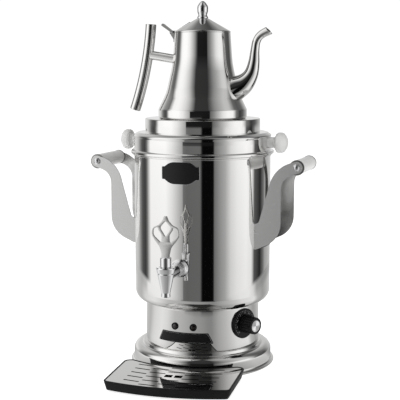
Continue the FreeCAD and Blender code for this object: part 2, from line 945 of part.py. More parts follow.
def stud_nuts():
    top = tank_underside - housing_sheet
    nut = prism(6, stud_nut_flats, top - stud_nut_thickness, top)
    nut = nut.cut(cylinder(stud_radius + thread_clearance, top - 20, top + 5))
    nut.translate(Vector(stud_circle, 0, 0))
    return group(around(nut, stud_count, stud_turn))


# Heater and controls

def heating_element():
    level = tank_floor + element_rise
    section = Part.Face(Part.Wire(Part.Circle(
        Vector(element_circle, 0, level), Vector(0, 1, 0), element_tube_radius).toShape()))
    loop = outward(section.revolve(Vector(0, 0, 0), Vector(0, 0, 1), 360 - element_gap_angle))
    loop.rotate(Vector(0, 0, 0), Vector(0, 0, 1), 90 + element_gap_angle / 2)
    pieces = [loop]
    flange_low = tank_floor + element_gasket_thickness
    for x, y in element_legs():
        pieces.append(Part.makeSphere(element_tube_radius, Vector(x, y, level)))
        pieces.append(cylinder(element_tube_radius, tank_underside - element_leg_drop, level, x, y))
        pieces.append(cylinder(bush_radius, tank_underside - bush_drop, flange_low + 1, x, y))
        pieces.append(cylinder(bush_flange_radius, flange_low, flange_low + bush_flange_thickness, x, y))
    return joined(pieces)


def element_gaskets():
    return group([ring(bush_flange_radius, bush_radius + thread_clearance, tank_floor,
                       tank_floor + element_gasket_thickness, x, y) for x, y in element_legs()])


def element_nuts():
    nuts = []
    for x, y in element_legs():
        nut = prism(6, element_nut_flats, tank_underside - element_nut_thickness, tank_underside)
        nut = nut.cut(cylinder(bush_radius + thread_clearance, tank_underside - 20, tank_underside + 5))
        nut.translate(Vector(x, y, 0))
        nuts.append(nut)
    return group(nuts)


def bulb_level():
    return tank_underside - bulb_radius - 0.05


def capillary():
    """The sensing bulb under the tank and the thin tube that joins it to the thermostat."""
    end = Vector(bulb_length / 2, bulb_place_y, bulb_level())
    bulb = Part.makeCylinder(bulb_radius, bulb_length, end - Vector(bulb_length, 0, 0), Vector(1, 0, 0))
    angle = math.radians(dial_angle)
    back = bracket_front - thermostat_length
    across = thermostat_width * 0.3
    start = Vector(back * math.sin(angle) + across * math.cos(angle),
                   -back * math.cos(angle) + across * math.sin(angle), foot_top + dial_height)
    knee = start + Vector(-math.sin(angle), math.cos(angle), 0) * 12
    route = [start, knee, Vector(end.x + 14, end.y, end.z), Vector(end.x - 1, end.y, end.z)]
    return joined([bulb, tube_along(route, capillary_radius, capillary_bend)])


def bulb_clip():
    low = bulb_level() - bulb_radius - clip_sheet
    outer = bulb_radius + clip_sheet + thread_clearance
    y = bulb_place_y
    saddle = block(-clip_width / 2, clip_width / 2, y - outer, y + outer, low, tank_underside)
    ears = block(-clip_width / 2, clip_width / 2, y - outer - clip_ear, y + outer + clip_ear,
                 tank_underside - clip_sheet, tank_underside)
    bore = Part.makeCylinder(bulb_radius + thread_clearance, clip_width + 2,
                             Vector(-clip_width / 2 - 1, y, bulb_level()), Vector(1, 0, 0))
    way_in = block(-clip_width, clip_width, y - bulb_radius - thread_clearance,
                   y + bulb_radius + thread_clearance, bulb_level(), tank_underside + 1)
    return joined([saddle, ears]).cut([bore, way_in])


def thermal_cutout():
    x, y = cutout_place
    half = cutout_flange_width / 2
    top = tank_underside
    flange = block(x - half, x + half, y - cutout_radius * 0.6, y + cutout_radius * 0.6,
                   top - cutout_flange_thickness, top)
    body = cylinder(cutout_radius, top - cutout_height, top, x, y)
    tabs = []
    for side in (-1, 1):
        centre = x + side * cutout_radius * 0.5
        tabs.append(block(centre - cutout_tab_thickness / 2, centre + cutout_tab_thickness / 2,
                          y - cutout_tab_width / 2, y + cutout_tab_width / 2,
                          top - cutout_height - cutout_tab_length, top - cutout_height + 0.5))
    return joined([flange, body] + tabs)


def terminal_block():
    x, y = block_place
    low = foot_underside
    body = block(x - block_length / 2, x + block_length / 2, y - block_width / 2, y + block_width / 2,
                 low, low + block_height)
    wells = []
    pitch = block_length / block_pole_count
    for i in range(block_pole_count):
        centre = x + (i - (block_pole_count - 1) / 2) * pitch
        wells.append(cylinder(block_pole_radius, low + block_height - 5, low + block_height + 1, centre, y))
    return body.cut(wells)


# Carrying handles

def wing_outline():
    """The side view of a handle's sheet wing on +X, anticlockwise from the foot of its web."""
    root = tank_radius - wing_root_depth
    bend = tank_radius - wing_root_depth / 2
    belly = tank_radius + wing_belly_offset
    tab = grip_reach + wing_tab_reach
    return [
        (root, handle_web_low, 0),
        (bend, handle_web_low, 6),
        (belly, handle_web_low + wing_belly_rise, wing_belly_rounding),
        (belly, grip_height - wing_shoulder_drop, wing_shoulder_rounding),
        (tab, grip_height - wing_tab_low, wing_tab_rounding),
        (tab, grip_height + wing_tab_high, wing_tab_rounding),
        (grip_reach - wing_neck_inset, grip_height, wing_neck_rounding),
        (tank_radius - wing_crook_inset, handle_web_high, wing_crook_rounding),
        (root, handle_web_high, 0),
    ]


def handle_bracket():
    """One bent sheet: a web round the tank's side and a wing at each end of the grip."""
    inner = grip_length / 2
    outer = inner + handle_sheet
    wings = [slab(wing_outline(), handle_sheet, "xz", low) for low in (-outer, inner)]
    web = ring(tank_radius + handle_sheet, tank_radius, handle_web_low, handle_web_high)
    web = web.common(block(0, tank_radius * 2, -outer, outer, handle_web_low - 1, handle_web_high + 1))
    bracket = joined([web] + [wing.cut(tank_core()) for wing in wings])
    rod_hole = Part.makeCylinder(grip_rod_radius + thread_clearance, 2 * outer + 2,
                                 Vector(grip_reach, -outer - 1, grip_height), Vector(0, 1, 0))
    return bracket.cut(rod_hole)


def along_grip(radius, low, high):
    return Part.makeCylinder(radius, high - low, Vector(grip_reach, low, grip_height), Vector(0, 1, 0))


def grip():
    half = grip_length / 2
    body = along_grip(grip_radius, -half, half)
    body = body.makeFillet(grip_end_rounding, [edge for edge in body.Edges if edge.Closed])
    return body.cut(along_grip(grip_rod_radius + thread_clearance, -half - 1, half + 1))


def grip_rod():
    end = grip_length / 2 + handle_sheet + dome_nut_height * 0.5
    return along_grip(grip_rod_radius, -end, end)


def dome_nuts():
    face = grip_length / 2 + handle_sheet
    dome_radius = (dome_nut_radius ** 2 + dome_nut_height ** 2) / (2 * dome_nut_height)
    end = face + dome_nut_height * 0.5 + 0.1
    rod_hole = along_grip(grip_rod_radius + thread_clearance, -end, end)
    nuts = []
    for side in (-1, 1):
        centre = side * (face + dome_nut_height - dome_radius)
        ball = Part.makeSphere(dome_radius, Vector(grip_reach, centre, grip_height))
        low, high = sorted((side * face, side * (face + 20)))
        nuts.append(ball.common(along_grip(dome_nut_radius, low, high)).cut(rod_hole))
    return nuts


# Tap

def on_tap(shape):
    moved = shape.copy()
    moved.translate(Vector(0, tap_axis_y, 0))
    return moved


def along_shank(radius, start, end):
    """A cylinder on the line from the tank's wall out to the tap, at distances from the urn's axis."""
    return Part.makeCylinder(radius, end - start, Vector(0, -start, tap_port_height), Vector(0, -1, 0))


def shank_stations():
    """Distances from the urn's axis: gasket face, escutcheon face, nut face and ring face."""
    gasket = tank_radius + tap_gasket_thickness
    escutcheon = gasket + escutcheon_depth
    nut = escutcheon + tap_nut_width
    return gasket, escutcheon, nut, nut + tap_ring_width


def tap_body():
    cone = turned([
        (0, tap_bottom_height, 0),
        (tap_nozzle_radius + 0.3, tap_bottom_height, 0.8),
        (tap_nozzle_radius, tap_bottom_height + tap_nozzle_length, 4),
        (tap_groove_radius, tap_groove_height - tap_groove_width / 2, 0.5),
        (tap_groove_radius - tap_groove_depth, tap_groove_height, 0.3),
        (tap_groove_radius + 0.4, tap_groove_height + tap_groove_width / 2, 0.5),
        (tap_top_radius, tap_top_height - tap_top_band, 0.8),
        (tap_top_radius - 0.3, tap_top_height, 0.6),
        (0, tap_top_height, 0),
    ])
    gasket, escutcheon, nut, ring_face = shank_stations()
    inner_end = tank_inner_radius - shank_inside_length
    neck = along_shank(tap_neck_radius, ring_face - 0.5, tank_radius + tap_reach)
    flange = along_shank(tap_ring_radius, nut, ring_face)
    shank = along_shank(shank_radius, inner_end, nut + 1)
    gap = running_clearance
    seat = Part.makeCone(plug_bottom_radius + gap, plug_top_radius + gap,
                         plug_top_height - plug_bottom_height, Vector(0, 0, plug_bottom_height))
    bonnet = cylinder(bonnet_radius + thread_clearance, plug_top_height, tap_top_height + 1)
    outlet = cylinder(tap_bore_radius, tap_bottom_height - 1, plug_bottom_height + 1)
    inlet = along_shank(tap_bore_radius, inner_end - 1, tank_radius + tap_reach)
    body = joined([on_tap(cone), neck, flange, shank])
    return body.cut([on_tap(seat), on_tap(bonnet), on_tap(outlet), inlet])


def tap_bonnet():
    """The threaded ring that keeps the plug down in its seat."""
    disc = ring(bonnet_radius, plug_stem_radius + running_clearance,
                plug_top_height + running_clearance, tap_top_height)
    return on_tap(disc)


def tap_plug():
    """The tapered plug: a side port leads to a bore that runs down to the nozzle."""
    body = Part.makeCone(plug_bottom_radius, plug_top_radius, plug_top_height - plug_bottom_height,
                         Vector(0, 0, plug_bottom_height))
    stem_top = tap_top_height + collar_height - key_foot_depth - 1
    stem = cylinder(plug_stem_radius, plug_top_height - 1, stem_top)
    bore = cylinder(tap_bore_radius, plug_bottom_height - 1, tap_port_height)
    port = Part.makeCylinder(tap_bore_radius, plug_top_radius * 2, Vector(0, 0, tap_port_height),
                             Vector(1, 0, 0))
    return on_tap(joined([body, stem]).cut([bore, port]))


def key_pin_height():
    return tap_top_height + collar_height - key_foot_depth / 2


def tap_collar():
    """The chrome sleeve on the plug's stem that holds the key's foot."""
    low = tap_top_height + running_clearance * 2
    high = tap_top_height + collar_height
    sleeve = turned([
        (0, low, 0), (collar_radius, low, 0.6), (collar_radius, high, 0.8), (0, high, 0)])
    stem_hole = cylinder(plug_stem_radius + thread_clearance, low - 1, high - key_foot_depth - 0.5)
    half_width = key_foot_width / 2 + thread_clearance
    half_depth = key_thickness / 2 + thread_clearance
    slot = block(-half_width, half_width, -half_depth, half_depth, high - key_foot_depth, high + 1)
    pin_hole = Part.makeCylinder(key_pin_radius + thread_clearance, collar_radius * 4,
                                 Vector(0, -collar_radius * 2, key_pin_height()), Vector(0, 1, 0))
    return on_tap(sleeve.cut([stem_hole, slot, pin_hole]))


def mirrored_outline(places):
    """A right half outline followed by its left half."""
    return places + [(-u, v, rounding) for u, v, rounding in reversed(places)]


def key_outline(places):
    """A closed outline on the key's blade, from shares of its half width and of its height."""
    low = tap_top_height + collar_height
    return [(across * key_width / 2, low + up * key_height, rounding) for across, up, rounding in places]


def tap_key():
    """The flat ornamental key: a tulip outline with a diamond and two leaves cut out."""
    half_foot = key_foot_width / 2
    foot = tap_top_height + collar_height - key_foot_depth
    right = [(half_foot, foot, 0)] + key_outline([
        (0.293, 0.06, 8), (0.405, 0.24, 16), (0.754, 0.39, 14), (1.0, 0.525, 10), (0.957, 0.71, 9),
        (0.50, 0.78, 9), (0.241, 0.88, 9), (0.103, 1.0, 1.6)])
    blade = slab(mirrored_outline(right), key_thickness, "xz", -key_thickness / 2)
    diamond = key_outline([(0, 0.494, 1.5), (0.405, 0.718, 5), (0, 0.88, 1.5), (-0.405, 0.718, 5)])
    leaf = key_outline([
        (0.31, 0.347, 1.2), (0.888, 0.532, 9), (0.836, 0.702, 5),
        (0.543, 0.725, 1.5), (0.526, 0.671, 4), (0.284, 0.54, 6)])
    other_leaf = [(-u, v, rounding) for u, v, rounding in reversed(leaf)]
    cutters = [slab(outline, key_thickness + 2, "xz", -key_thickness / 2 - 1)
               for outline in (diamond, leaf, other_leaf)]
    pin_hole = Part.makeCylinder(key_pin_radius + thread_clearance, collar_radius * 2,
                                 Vector(0, -collar_radius, key_pin_height()), Vector(0, 1, 0))
    return on_tap(blade.cut(cutters + [pin_hole]))


def tap_key_pin():
    pin = Part.makeCylinder(key_pin_radius, collar_radius * 2 - 1,
                            Vector(0, -collar_radius + 0.5, key_pin_height()), Vector(0, 1, 0))
    return on_tap(pin)


def tap_escutcheon():
    """The domed cover ring between the wall gasket and the clamping nut."""
    gasket, escutcheon, nut, ring_face = shank_stations()
    wall_face = math.sqrt(tank_radius ** 2 - escutcheon_radius ** 2)
    dome = turned([
        (0, wall_face - 1, 0), (escutcheon_radius, wall_face - 1, 0.2),
        (escutcheon_radius, gasket + escutcheon_edge, 1.0),
        (tap_nut_radius + escutcheon_edge, escutcheon - 1.0, 3.0),
        (tap_nut_radius, escutcheon, 0.4), (0, escutcheon, 0)])
    hollow = cylinder(tap_gasket_radius + 0.3, wall_face - 5, gasket)
    dome = dome.cut([hollow, cylinder(shank_radius + thread_clearance, wall_face - 5, escutcheon + 5)])
    return radial(dome, 0, tap_port_height).cut(tank_core())


def tap_nut():
    gasket, escutcheon, nut, ring_face = shank_stations()
    body = cylinder(tap_nut_radius, escutcheon, nut)
    body = body.makeFillet(tap_nut_rounding, [edge for edge in body.Edges if edge.Closed])
    body = body.cut(cylinder(shank_radius + thread_clearance, escutcheon - 1, nut + 1))
    return radial(body, 0, tap_port_height)


def lock_nut_face():
    return tank_inner_radius - inner_gasket_thickness


def tap_gaskets():
    bore = cylinder(shank_radius + thread_clearance, tank_inner_radius - 20, tank_radius + 20)
    bore = radial(bore, 0, tap_port_height)
    outside = cylinder(tap_gasket_radius, tank_inner_radius, tank_radius + tap_gasket_thickness)
    outside = radial(outside, 0, tap_port_height).cut([tank_core(), bore])
    inside_face = lock_nut_face()
    inside = radial(cylinder(tap_gasket_radius, inside_face, tank_radius), 0, tap_port_height)
    inside = inside.common(cylinder(tank_inner_radius, tank_floor, tank_top)).cut(bore)
    return group([outside, inside])


def tap_lock_nut():
    face = lock_nut_face()
    nut = prism(6, lock_nut_flats, face - lock_nut_thickness, face)
    nut = nut.cut(cylinder(shank_radius + thread_clearance, face - 20, face + 5))
    return radial(nut, 0, tap_port_height)


# Urn lid

def lid_section():
    skirt = tank_inner_radius - seat_clearance
    low = tank_top
    flange_top = low + lid_flange_height
    wall_top = flange_top + lid_wall_height
    shoulder = lid_wall_radius + lid_shoulder_overhang
    return [
        (skirt, low - lid_skirt_depth, 0),
        (skirt, low, seat_clearance * 0.7),
        (lid_flange_radius, low, 1.5),
        (lid_flange_radius, flange_top, 1.6),
        (lid_wall_radius, flange_top, 1.4),
        (lid_wall_radius, wall_top, 3.0),
        (shoulder, wall_top + lid_shoulder_height, 3.0),
        (shoulder - lid_shoulder_slope_width, lid_top, 5.0),
        (lid_opening_radius, lid_top, 0),
    ]


def lid_core():
    """The space inside the lid's outer wall, to seat the knobs on its curved face."""
    return filled(lid_section()[4:])


def along_knob(radius, low, high):
    level = tank_top + lid_knob_height
    return Part.makeCylinder(radius, high - low, Vector(low, 0, level), Vector(1, 0, 0))


def lid_ring():
    hole = along_knob(lid_knob_screw_radius + thread_clearance, lid_wall_radius - 10, lid_wall_radius + 10)
    return spun_sheet(lid_section(), lid_sheet).cut([hole, mirrored_in_x(hole)])


def seat_ring():
    return spun_sheet([
        (seat_radius, lid_top, 0),
        (seat_radius, seat_top, 1.4),
        (seat_opening_radius, seat_top, 1.2),
        (seat_opening_radius, seat_top - seat_collar_depth, 0),
    ], lid_sheet)


def knob_screw_start():
    inner = lid_wall_radius - lid_sheet
    return math.sqrt(inner ** 2 - lid_knob_washer_radius ** 2) - lid_knob_washer_thickness


def lid_knob():
    """A mushroom knob on a short neck, turned about the X axis."""
    base = lid_wall_radius - 3
    head_start = lid_wall_radius + lid_knob_neck_length
    tip = head_start + lid_knob_depth
    profile = turned([
        (0, base, 0),
        (lid_knob_neck_radius, base, 0),
        (lid_knob_neck_radius - 0.8, head_start, 5),
        (lid_knob_radius, head_start + lid_knob_back, 5.5),
        (lid_knob_radius, tip - lid_knob_crown, 8),
        (lid_knob_flat_radius, tip, 14),
        (0, tip, 0),
    ])
    profile.rotate(Vector(0, 0, 0), Vector(0, 1, 0), 90)
    profile.translate(Vector(0, 0, tank_top + lid_knob_height))
    hole = along_knob(lid_knob_screw_radius + thread_clearance, base - 1,
                      knob_screw_start() + lid_knob_screw_length + 0.5)
    return profile.cut([lid_core(), hole])


def lid_knob_screw():
    """A screw from inside the lid, its head with a washer flange."""
    start = knob_screw_start()
    head = along_knob(lid_knob_screw_head_radius, start - lid_knob_screw_head_height, start)
    flange = along_knob(lid_knob_washer_radius, start, start + lid_knob_washer_thickness)
    shank = along_knob(lid_knob_screw_radius, start - 0.5, start + lid_knob_screw_length)
    return joined([head, flange, shank])


# Teapot

def pot_section():
    return [
        (pot_spigot_radius + 0.3, seat_top, 0),
        (pot_base_radius, seat_top, 3.0),
        (pot_base_radius, seat_top + pot_band_height, 5.0),
        (pot_waist_radius, seat_top + pot_waist_height, 70),
        (pot_neck_radius, seat_top + pot_neck_height, 150),
        (pot_mouth_radius, pot_mouth, 0),
    ]


def pot_core():
    """Everything inside the teapot's outer face."""
    return filled(pot_section())


def spout_stations():
    """Along the spout's middle line: x, height above the seat, radius and direction in degrees."""
    return [
        (44.0, 46.0, 24.5, 22),
        (60.0, 51.5, 21.2, 26),
        (75.0, 60.5, 16.6, 42),
        (85.3, 75.0, 12.2, 66),
        (89.6, 93.0, 9.6, 80),
        (91.2, 112.0, 7.6, 84),
        (94.0, 128.0, 7.0, 68),
        (102.0, 138.6, 7.1, 42),
        (121.0, 148.0, 7.9, 26),
    ]


def spout_solid(thickness):
    sections = []
    for x, z, radius, direction in spout_stations():
        angle = math.radians(direction)
        circle = Part.Circle(Vector(x, 0, seat_top + z), Vector(math.cos(angle), 0, math.sin(angle)),
                             radius - thickness)
        sections.append(Part.Wire(circle.toShape()))
    return outward(Part.makeLoft(sections, True, False))


def pot_place(place):
    return Vector(place[0], 0, seat_top + place[1])


def teapot_spout():
    half = spout_tip_cut / 2
    tip_cut = block(-half, half, -half, half, 0, spout_tip_cut)
    tip_cut.rotate(Vector(0, 0, 0), Vector(0, 1, 0), spout_tip_lean)
    tip_cut.translate(pot_place(spout_tip))
    return spout_solid(0).cut([spout_solid(spout_sheet), pot_core(), tip_cut])


def strainer_holes():
    """Small holes through the teapot's wall where the spout leaves it."""
    x, z, radius, direction = spout_stations()[1]
    holes = []
    for ring_radius in strainer_ring_radii:
        count = max(1, round(2 * math.pi * ring_radius / strainer_hole_pitch))
        for i in range(count):
            angle = 2 * math.pi * i / count
            y = ring_radius * math.sin(angle)
            height = seat_top + z + strainer_rise + ring_radius * math.cos(angle)
            start = Vector(strainer_drill_start, y, height)
            holes.append(Part.makeCylinder(strainer_hole_radius, strainer_drill_length,
                                           start, Vector(1, 0, 0)))
    return holes


def teapot_body():
    return spun_sheet(pot_section(), pot_sheet).cut(strainer_holes())


def teapot_base():
    """The pan that closes the teapot and drops into the seat's opening."""
    low = seat_top - pot_spigot_depth
    flange = seat_top + pot_sheet
    return spun_sheet([
        (0, low, 0),
        (pot_spigot_radius, low, 2.5),
        (pot_spigot_radius, flange, 0.3),
        (pot_spigot_radius + pot_flange_width, flange, 0),
    ], pot_sheet)


def handle_bend():
    """Centre, radius and turn of the arc that the teapot's handle follows."""
    arc = Part.Arc(pot_place(pot_handle_top), pot_place(pot_handle_middle), pot_place(pot_handle_bottom))
    edge = arc.toShape()
    return edge.Curve.Center, edge.Curve.Radius, math.degrees(edge.Length / edge.Curve.Radius)


def bent_bar(radius, shorten=0.0):
    centre, bend_radius, turn = handle_bend()
    trim = math.degrees(shorten / bend_radius)
    start = pot_place(pot_handle_top)
    along = Vector(0, 1, 0).cross((start - centre).normalize())
    section = Part.Face(Part.Wire(Part.Circle(start, along, radius).toShape()))
    sign = 1 if along.z < 0 else -1
    section.rotate(centre, Vector(0, 1, 0), sign * trim)
    return outward(section.revolve(centre, Vector(0, 1, 0), sign * (turn - 2 * trim)))


def teapot_handle():
    return bent_bar(pot_handle_tube_radius).cut(
        bent_bar(pot_handle_tube_radius - pot_handle_wall, pot_handle_wall))


def handle_strut():
    start = pot_place(strut_outer_end)
    end = pot_place(strut_inner_end)
    tube = Part.makeCylinder(strut_radius, (end - start).Length, start, end - start)
    bore = Part.makeCylinder(strut_radius - strut_wall, (end - start).Length, start, end - start)
    return tube.cut([bore, bent_bar(pot_handle_tube_radius), pot_core()])


# Teapot hinge and lid

def along_hinge(radius, low, high):
    return Part.makeCylinder(radius, high - low, Vector(-hinge_reach, low, hinge_height), Vector(0, 1, 0))


def hinge_bracket():
    """The plate on the teapot's side with the two outer knuckles."""
    half = hinge_width / 2
    middle = hinge_middle_width / 2 + hinge_side_gap
    knuckles = [along_hinge(knuckle_radius, middle, half), along_hinge(knuckle_radius, -half, -middle)]
    top = pot_mouth - 1.0
    back = -pot_mouth_radius - hinge_plate_thickness - 1.2
    arms = []
    for low, high in ((middle, half), (-half, -middle)):
        outline = [
            (-hinge_reach - knuckle_radius * 0.75, hinge_height - knuckle_radius * 0.6, 0),
            (back, pot_mouth - hinge_plate_height * 0.7, 0),
            (-pot_mouth_radius + 2, pot_mouth - hinge_plate_height * 0.7, 0),
            (-pot_mouth_radius + 2, top, 0),
            (-hinge_reach + 1.5, hinge_height, 0)]
        arms.append(slab(outline, high - low, "xz", low))
    plate = block(back, -pot_mouth_radius + 4, -half, half, pot_mouth - hinge_plate_height, top - 3)
    room = along_hinge(knuckle_radius + hinge_side_gap, -middle, middle)
    bore = along_hinge(hinge_pin_radius + thread_clearance, -half - 1, half + 1)
    return joined([plate] + arms + knuckles).cut([pot_core(), bore, room])


def hinge_pin():
    half = hinge_width / 2
    return along_hinge(hinge_pin_radius, -half - 0.6, half + 0.6)


def pot_lid_section():
    low = pot_lid_underside
    skirt = pot_mouth_radius - pot_sheet - pot_lid_skirt_clearance
    edge = pot_mouth_radius + pot_lid_edge_overhang
    return [
        (skirt, low - pot_lid_skirt_depth, 0),
        (skirt, low, 0.3),
        (edge, low, 0.5),
        (edge, low + pot_lid_edge_height, 2.4),
        (pot_lid_land_radius, pot_lid_land, 3.0),
        (0, pot_lid_land, 0),
    ]


def pot_lid_core():
    return filled(pot_lid_section()[2:])


def teapot_lid():
    shell = spun_sheet(pot_lid_section(), pot_sheet)
    return shell.cut(cylinder(finial_stud_radius + thread_clearance, pot_lid_land - 5, pot_lid_land + 5))


def lid_strap():
    """The strap up the lid's cone, the middle knuckle and the thumb lever, in one piece."""
    half = hinge_middle_width / 2
    knuckle = along_hinge(knuckle_radius, -half, half)
    edge = pot_mouth_radius + pot_lid_edge_overhang
    rim_height = pot_lid_underside + pot_lid_edge_height
    slope = (pot_lid_land - rim_height) / (edge - pot_lid_land_radius)
    end_height = rim_height + (edge - strap_end_radius) * slope
    strap_outline = [
        (-hinge_reach - 1.0, hinge_height + 0.5, 0),
        (-hinge_reach, hinge_height - 0.4, 0),
        (-edge + 2.0, hinge_height + 0.2, 0),
        (-strap_end_radius, end_height - 4, 0),
        (-strap_end_radius, end_height + strap_thickness * 0.9, 0.6),
        (-edge + 1.0, rim_height + strap_thickness * 1.2, 3),
        (-hinge_reach - 1.0, hinge_height + knuckle_radius, 0),
    ]
    strap = slab(strap_outline, strap_width, "xz", -strap_width / 2)
    clear = [along_hinge(knuckle_radius + hinge_side_gap, half, hinge_width),
             along_hinge(knuckle_radius + hinge_side_gap, -hinge_width, -half)]
    strap = strap.cut([pot_lid_core()] + clear)
    tip = Vector(-hinge_reach + lever_tip[0], 0, hinge_height + lever_tip[1])
    root = Vector(-hinge_reach, 0, hinge_height + 0.6)
    along = (tip - root).normalize()
    side = Vector(-along.z, 0, along.x) * (lever_thickness / 2)
    corners = ((root - side, 0), (root + side, 0), (tip + side * 1.3, 1.6), (tip - side * 1.3, 1.6))
    lever = slab([(corner.x, corner.z, rounding) for corner, rounding in corners],
                 hinge_middle_width, "xz", -half)
    bore = along_hinge(hinge_pin_radius + running_clearance, -hinge_width, hinge_width)
    return joined([knuckle, strap, lever]).cut(bore)


def finial():
    """The acorn on the lid, riveted through the lid by its own stud."""
    low = pot_lid_land
    top = low + finial_height
    under = low - pot_sheet
    body = turned([
        (0, low, 0),
        (finial_ring_radius, low, 0.8),
        (finial_ring_radius, low + finial_ring_height, 0.9),
        (finial_neck_radius, low + finial_neck_rise, 3),
        (finial_radius, low + finial_belly_rise, 6),
        (finial_radius + 0.4, low + finial_shoulder_rise, 8),
        (finial_cap_radius, top - finial_cap_drop, 5),
        (2.0, top, 2),
        (0, top, 0),
    ])
    stud = cylinder(finial_stud_radius, under - 0.5, low + 1)
    rivet = cylinder(finial_rivet_radius, under - finial_rivet_height, under)
    return joined([body, stud, rivet])


# Drip tray

def bowed_middle(middle_y, rise):
    """The corner and rounding that carry a bowed edge through its middle; its ends lie a rise behind."""
    depth = rise * tray_bow_share
    lean = math.atan((rise + depth) / (tray_width / 2))
    return (0, middle_y - depth, depth / (1 / math.cos(lean) - 1))


def beside_tap(shape):
    """Move a piece of the tray from the urn's middle plane to where the loose tray stands."""
    shape.rotate(Vector(0, tray_back_y, 0), Vector(0, 0, 1), tray_turn)
    shape.translate(Vector(tray_place_x, 0, 0))
    return shape


def tray_outline():
    """The tray's top edge, anticlockwise from its front left corner."""
    half = tray_width / 2
    side_front = tray_front_y + tray_front_bow
    side_back = side_front + tray_side_depth
    return [
        (-half, side_front, tray_front_corner),
        bowed_middle(tray_front_y, tray_front_bow),
        (half, side_front, tray_front_corner),
        (half, side_back, tray_back_corner),
        bowed_middle(tray_back_y, side_back - tray_back_y),
        (-half, side_back, tray_back_corner),
    ]


def tray_wire(inset, level):
    corners = [(Vector(u, v, level), rounding)
               for u, v, rounding in inset_corners(tray_outline(), inset, closed=True)]
    return Part.Wire(rounded_edges(corners, closed=True))


def tray_solid(inset, low, high):
    return outward(Part.Face(tray_wire(inset, low)).extrude(Vector(0, 0, high - low)))


def grille_level():
    return tray_top - grille_recess - grille_thickness


def drip_tray():
    low = tray_pad_height
    outside = outward(Part.makeLoft([tray_wire(tray_draft, low), tray_wire(0, tray_top)], True, True))
    well = tray_solid(tray_draft + tray_wall + tray_ledge_width, low + tray_floor, tray_top + 1)
    recess = tray_solid(tray_wall, grille_level(), tray_top + 1)
    return beside_tap(outside.cut([well, recess]))


def tray_pads():
    half = tray_width / 2 - tray_pad_inset
    front = tray_front_y + tray_front_bow + tray_pad_inset
    back = tray_front_y + tray_front_bow + tray_side_depth - tray_back_pad_inset
    return beside_tap(group([cylinder(tray_pad_radius, 0, tray_pad_height, x, y)
                             for x in (-half, half) for y in (front, back)]))


def slot_places():
    """Slots in staggered columns and bowed rows; the middle slot makes room for the finger holes."""
    places = []
    for column in range(slot_column_count):
        x = (column - (slot_column_count - 1) / 2) * slot_column_pitch
        stagger = slot_row_pitch / 2 if column % 2 else 0.0
        for row in range(slot_row_count):
            is_middle = column == slot_column_count // 2 and row == slot_row_count // 2
            if not is_middle:
                y = tray_back_y - slot_first_row - stagger - row * slot_row_pitch
                places.append((x, y + x * x / (2 * slot_row_radius)))
    return places


def grille():
    level = grille_level()
    plate = tray_solid(tray_wall + grille_clearance, level, level + grille_thickness)
    half_length = slot_length / 2
    half_width = slot_width / 2
    rounding = half_width * 0.95
    cutters = []
    for x, y in slot_places():
        outline = [
            (x - half_length, y - half_width, rounding), (x + half_length, y - half_width, rounding),
            (x + half_length, y + half_width, rounding), (x - half_length, y + half_width, rounding)]
        cutter = slab(outline, grille_thickness + 2, "xy", level - 1)
        cutter.rotate(Vector(x, y, 0), Vector(0, 0, 1), math.degrees(x / slot_row_radius))
        cutters.append(cutter)
    y = tray_back_y - slot_first_row - (slot_row_count // 2) * slot_row_pitch
    half_hole = finger_hole_size / 2
    for side in (-1, 1):
        x = side * (finger_hole_size + finger_hole_gap) / 2
        cutters.append(block(x - half_hole, x + half_hole, y - half_hole, y + half_hole,
                             level - 1, level + grille_thickness + 1))
    return beside_tap(plate.cut(cutters))


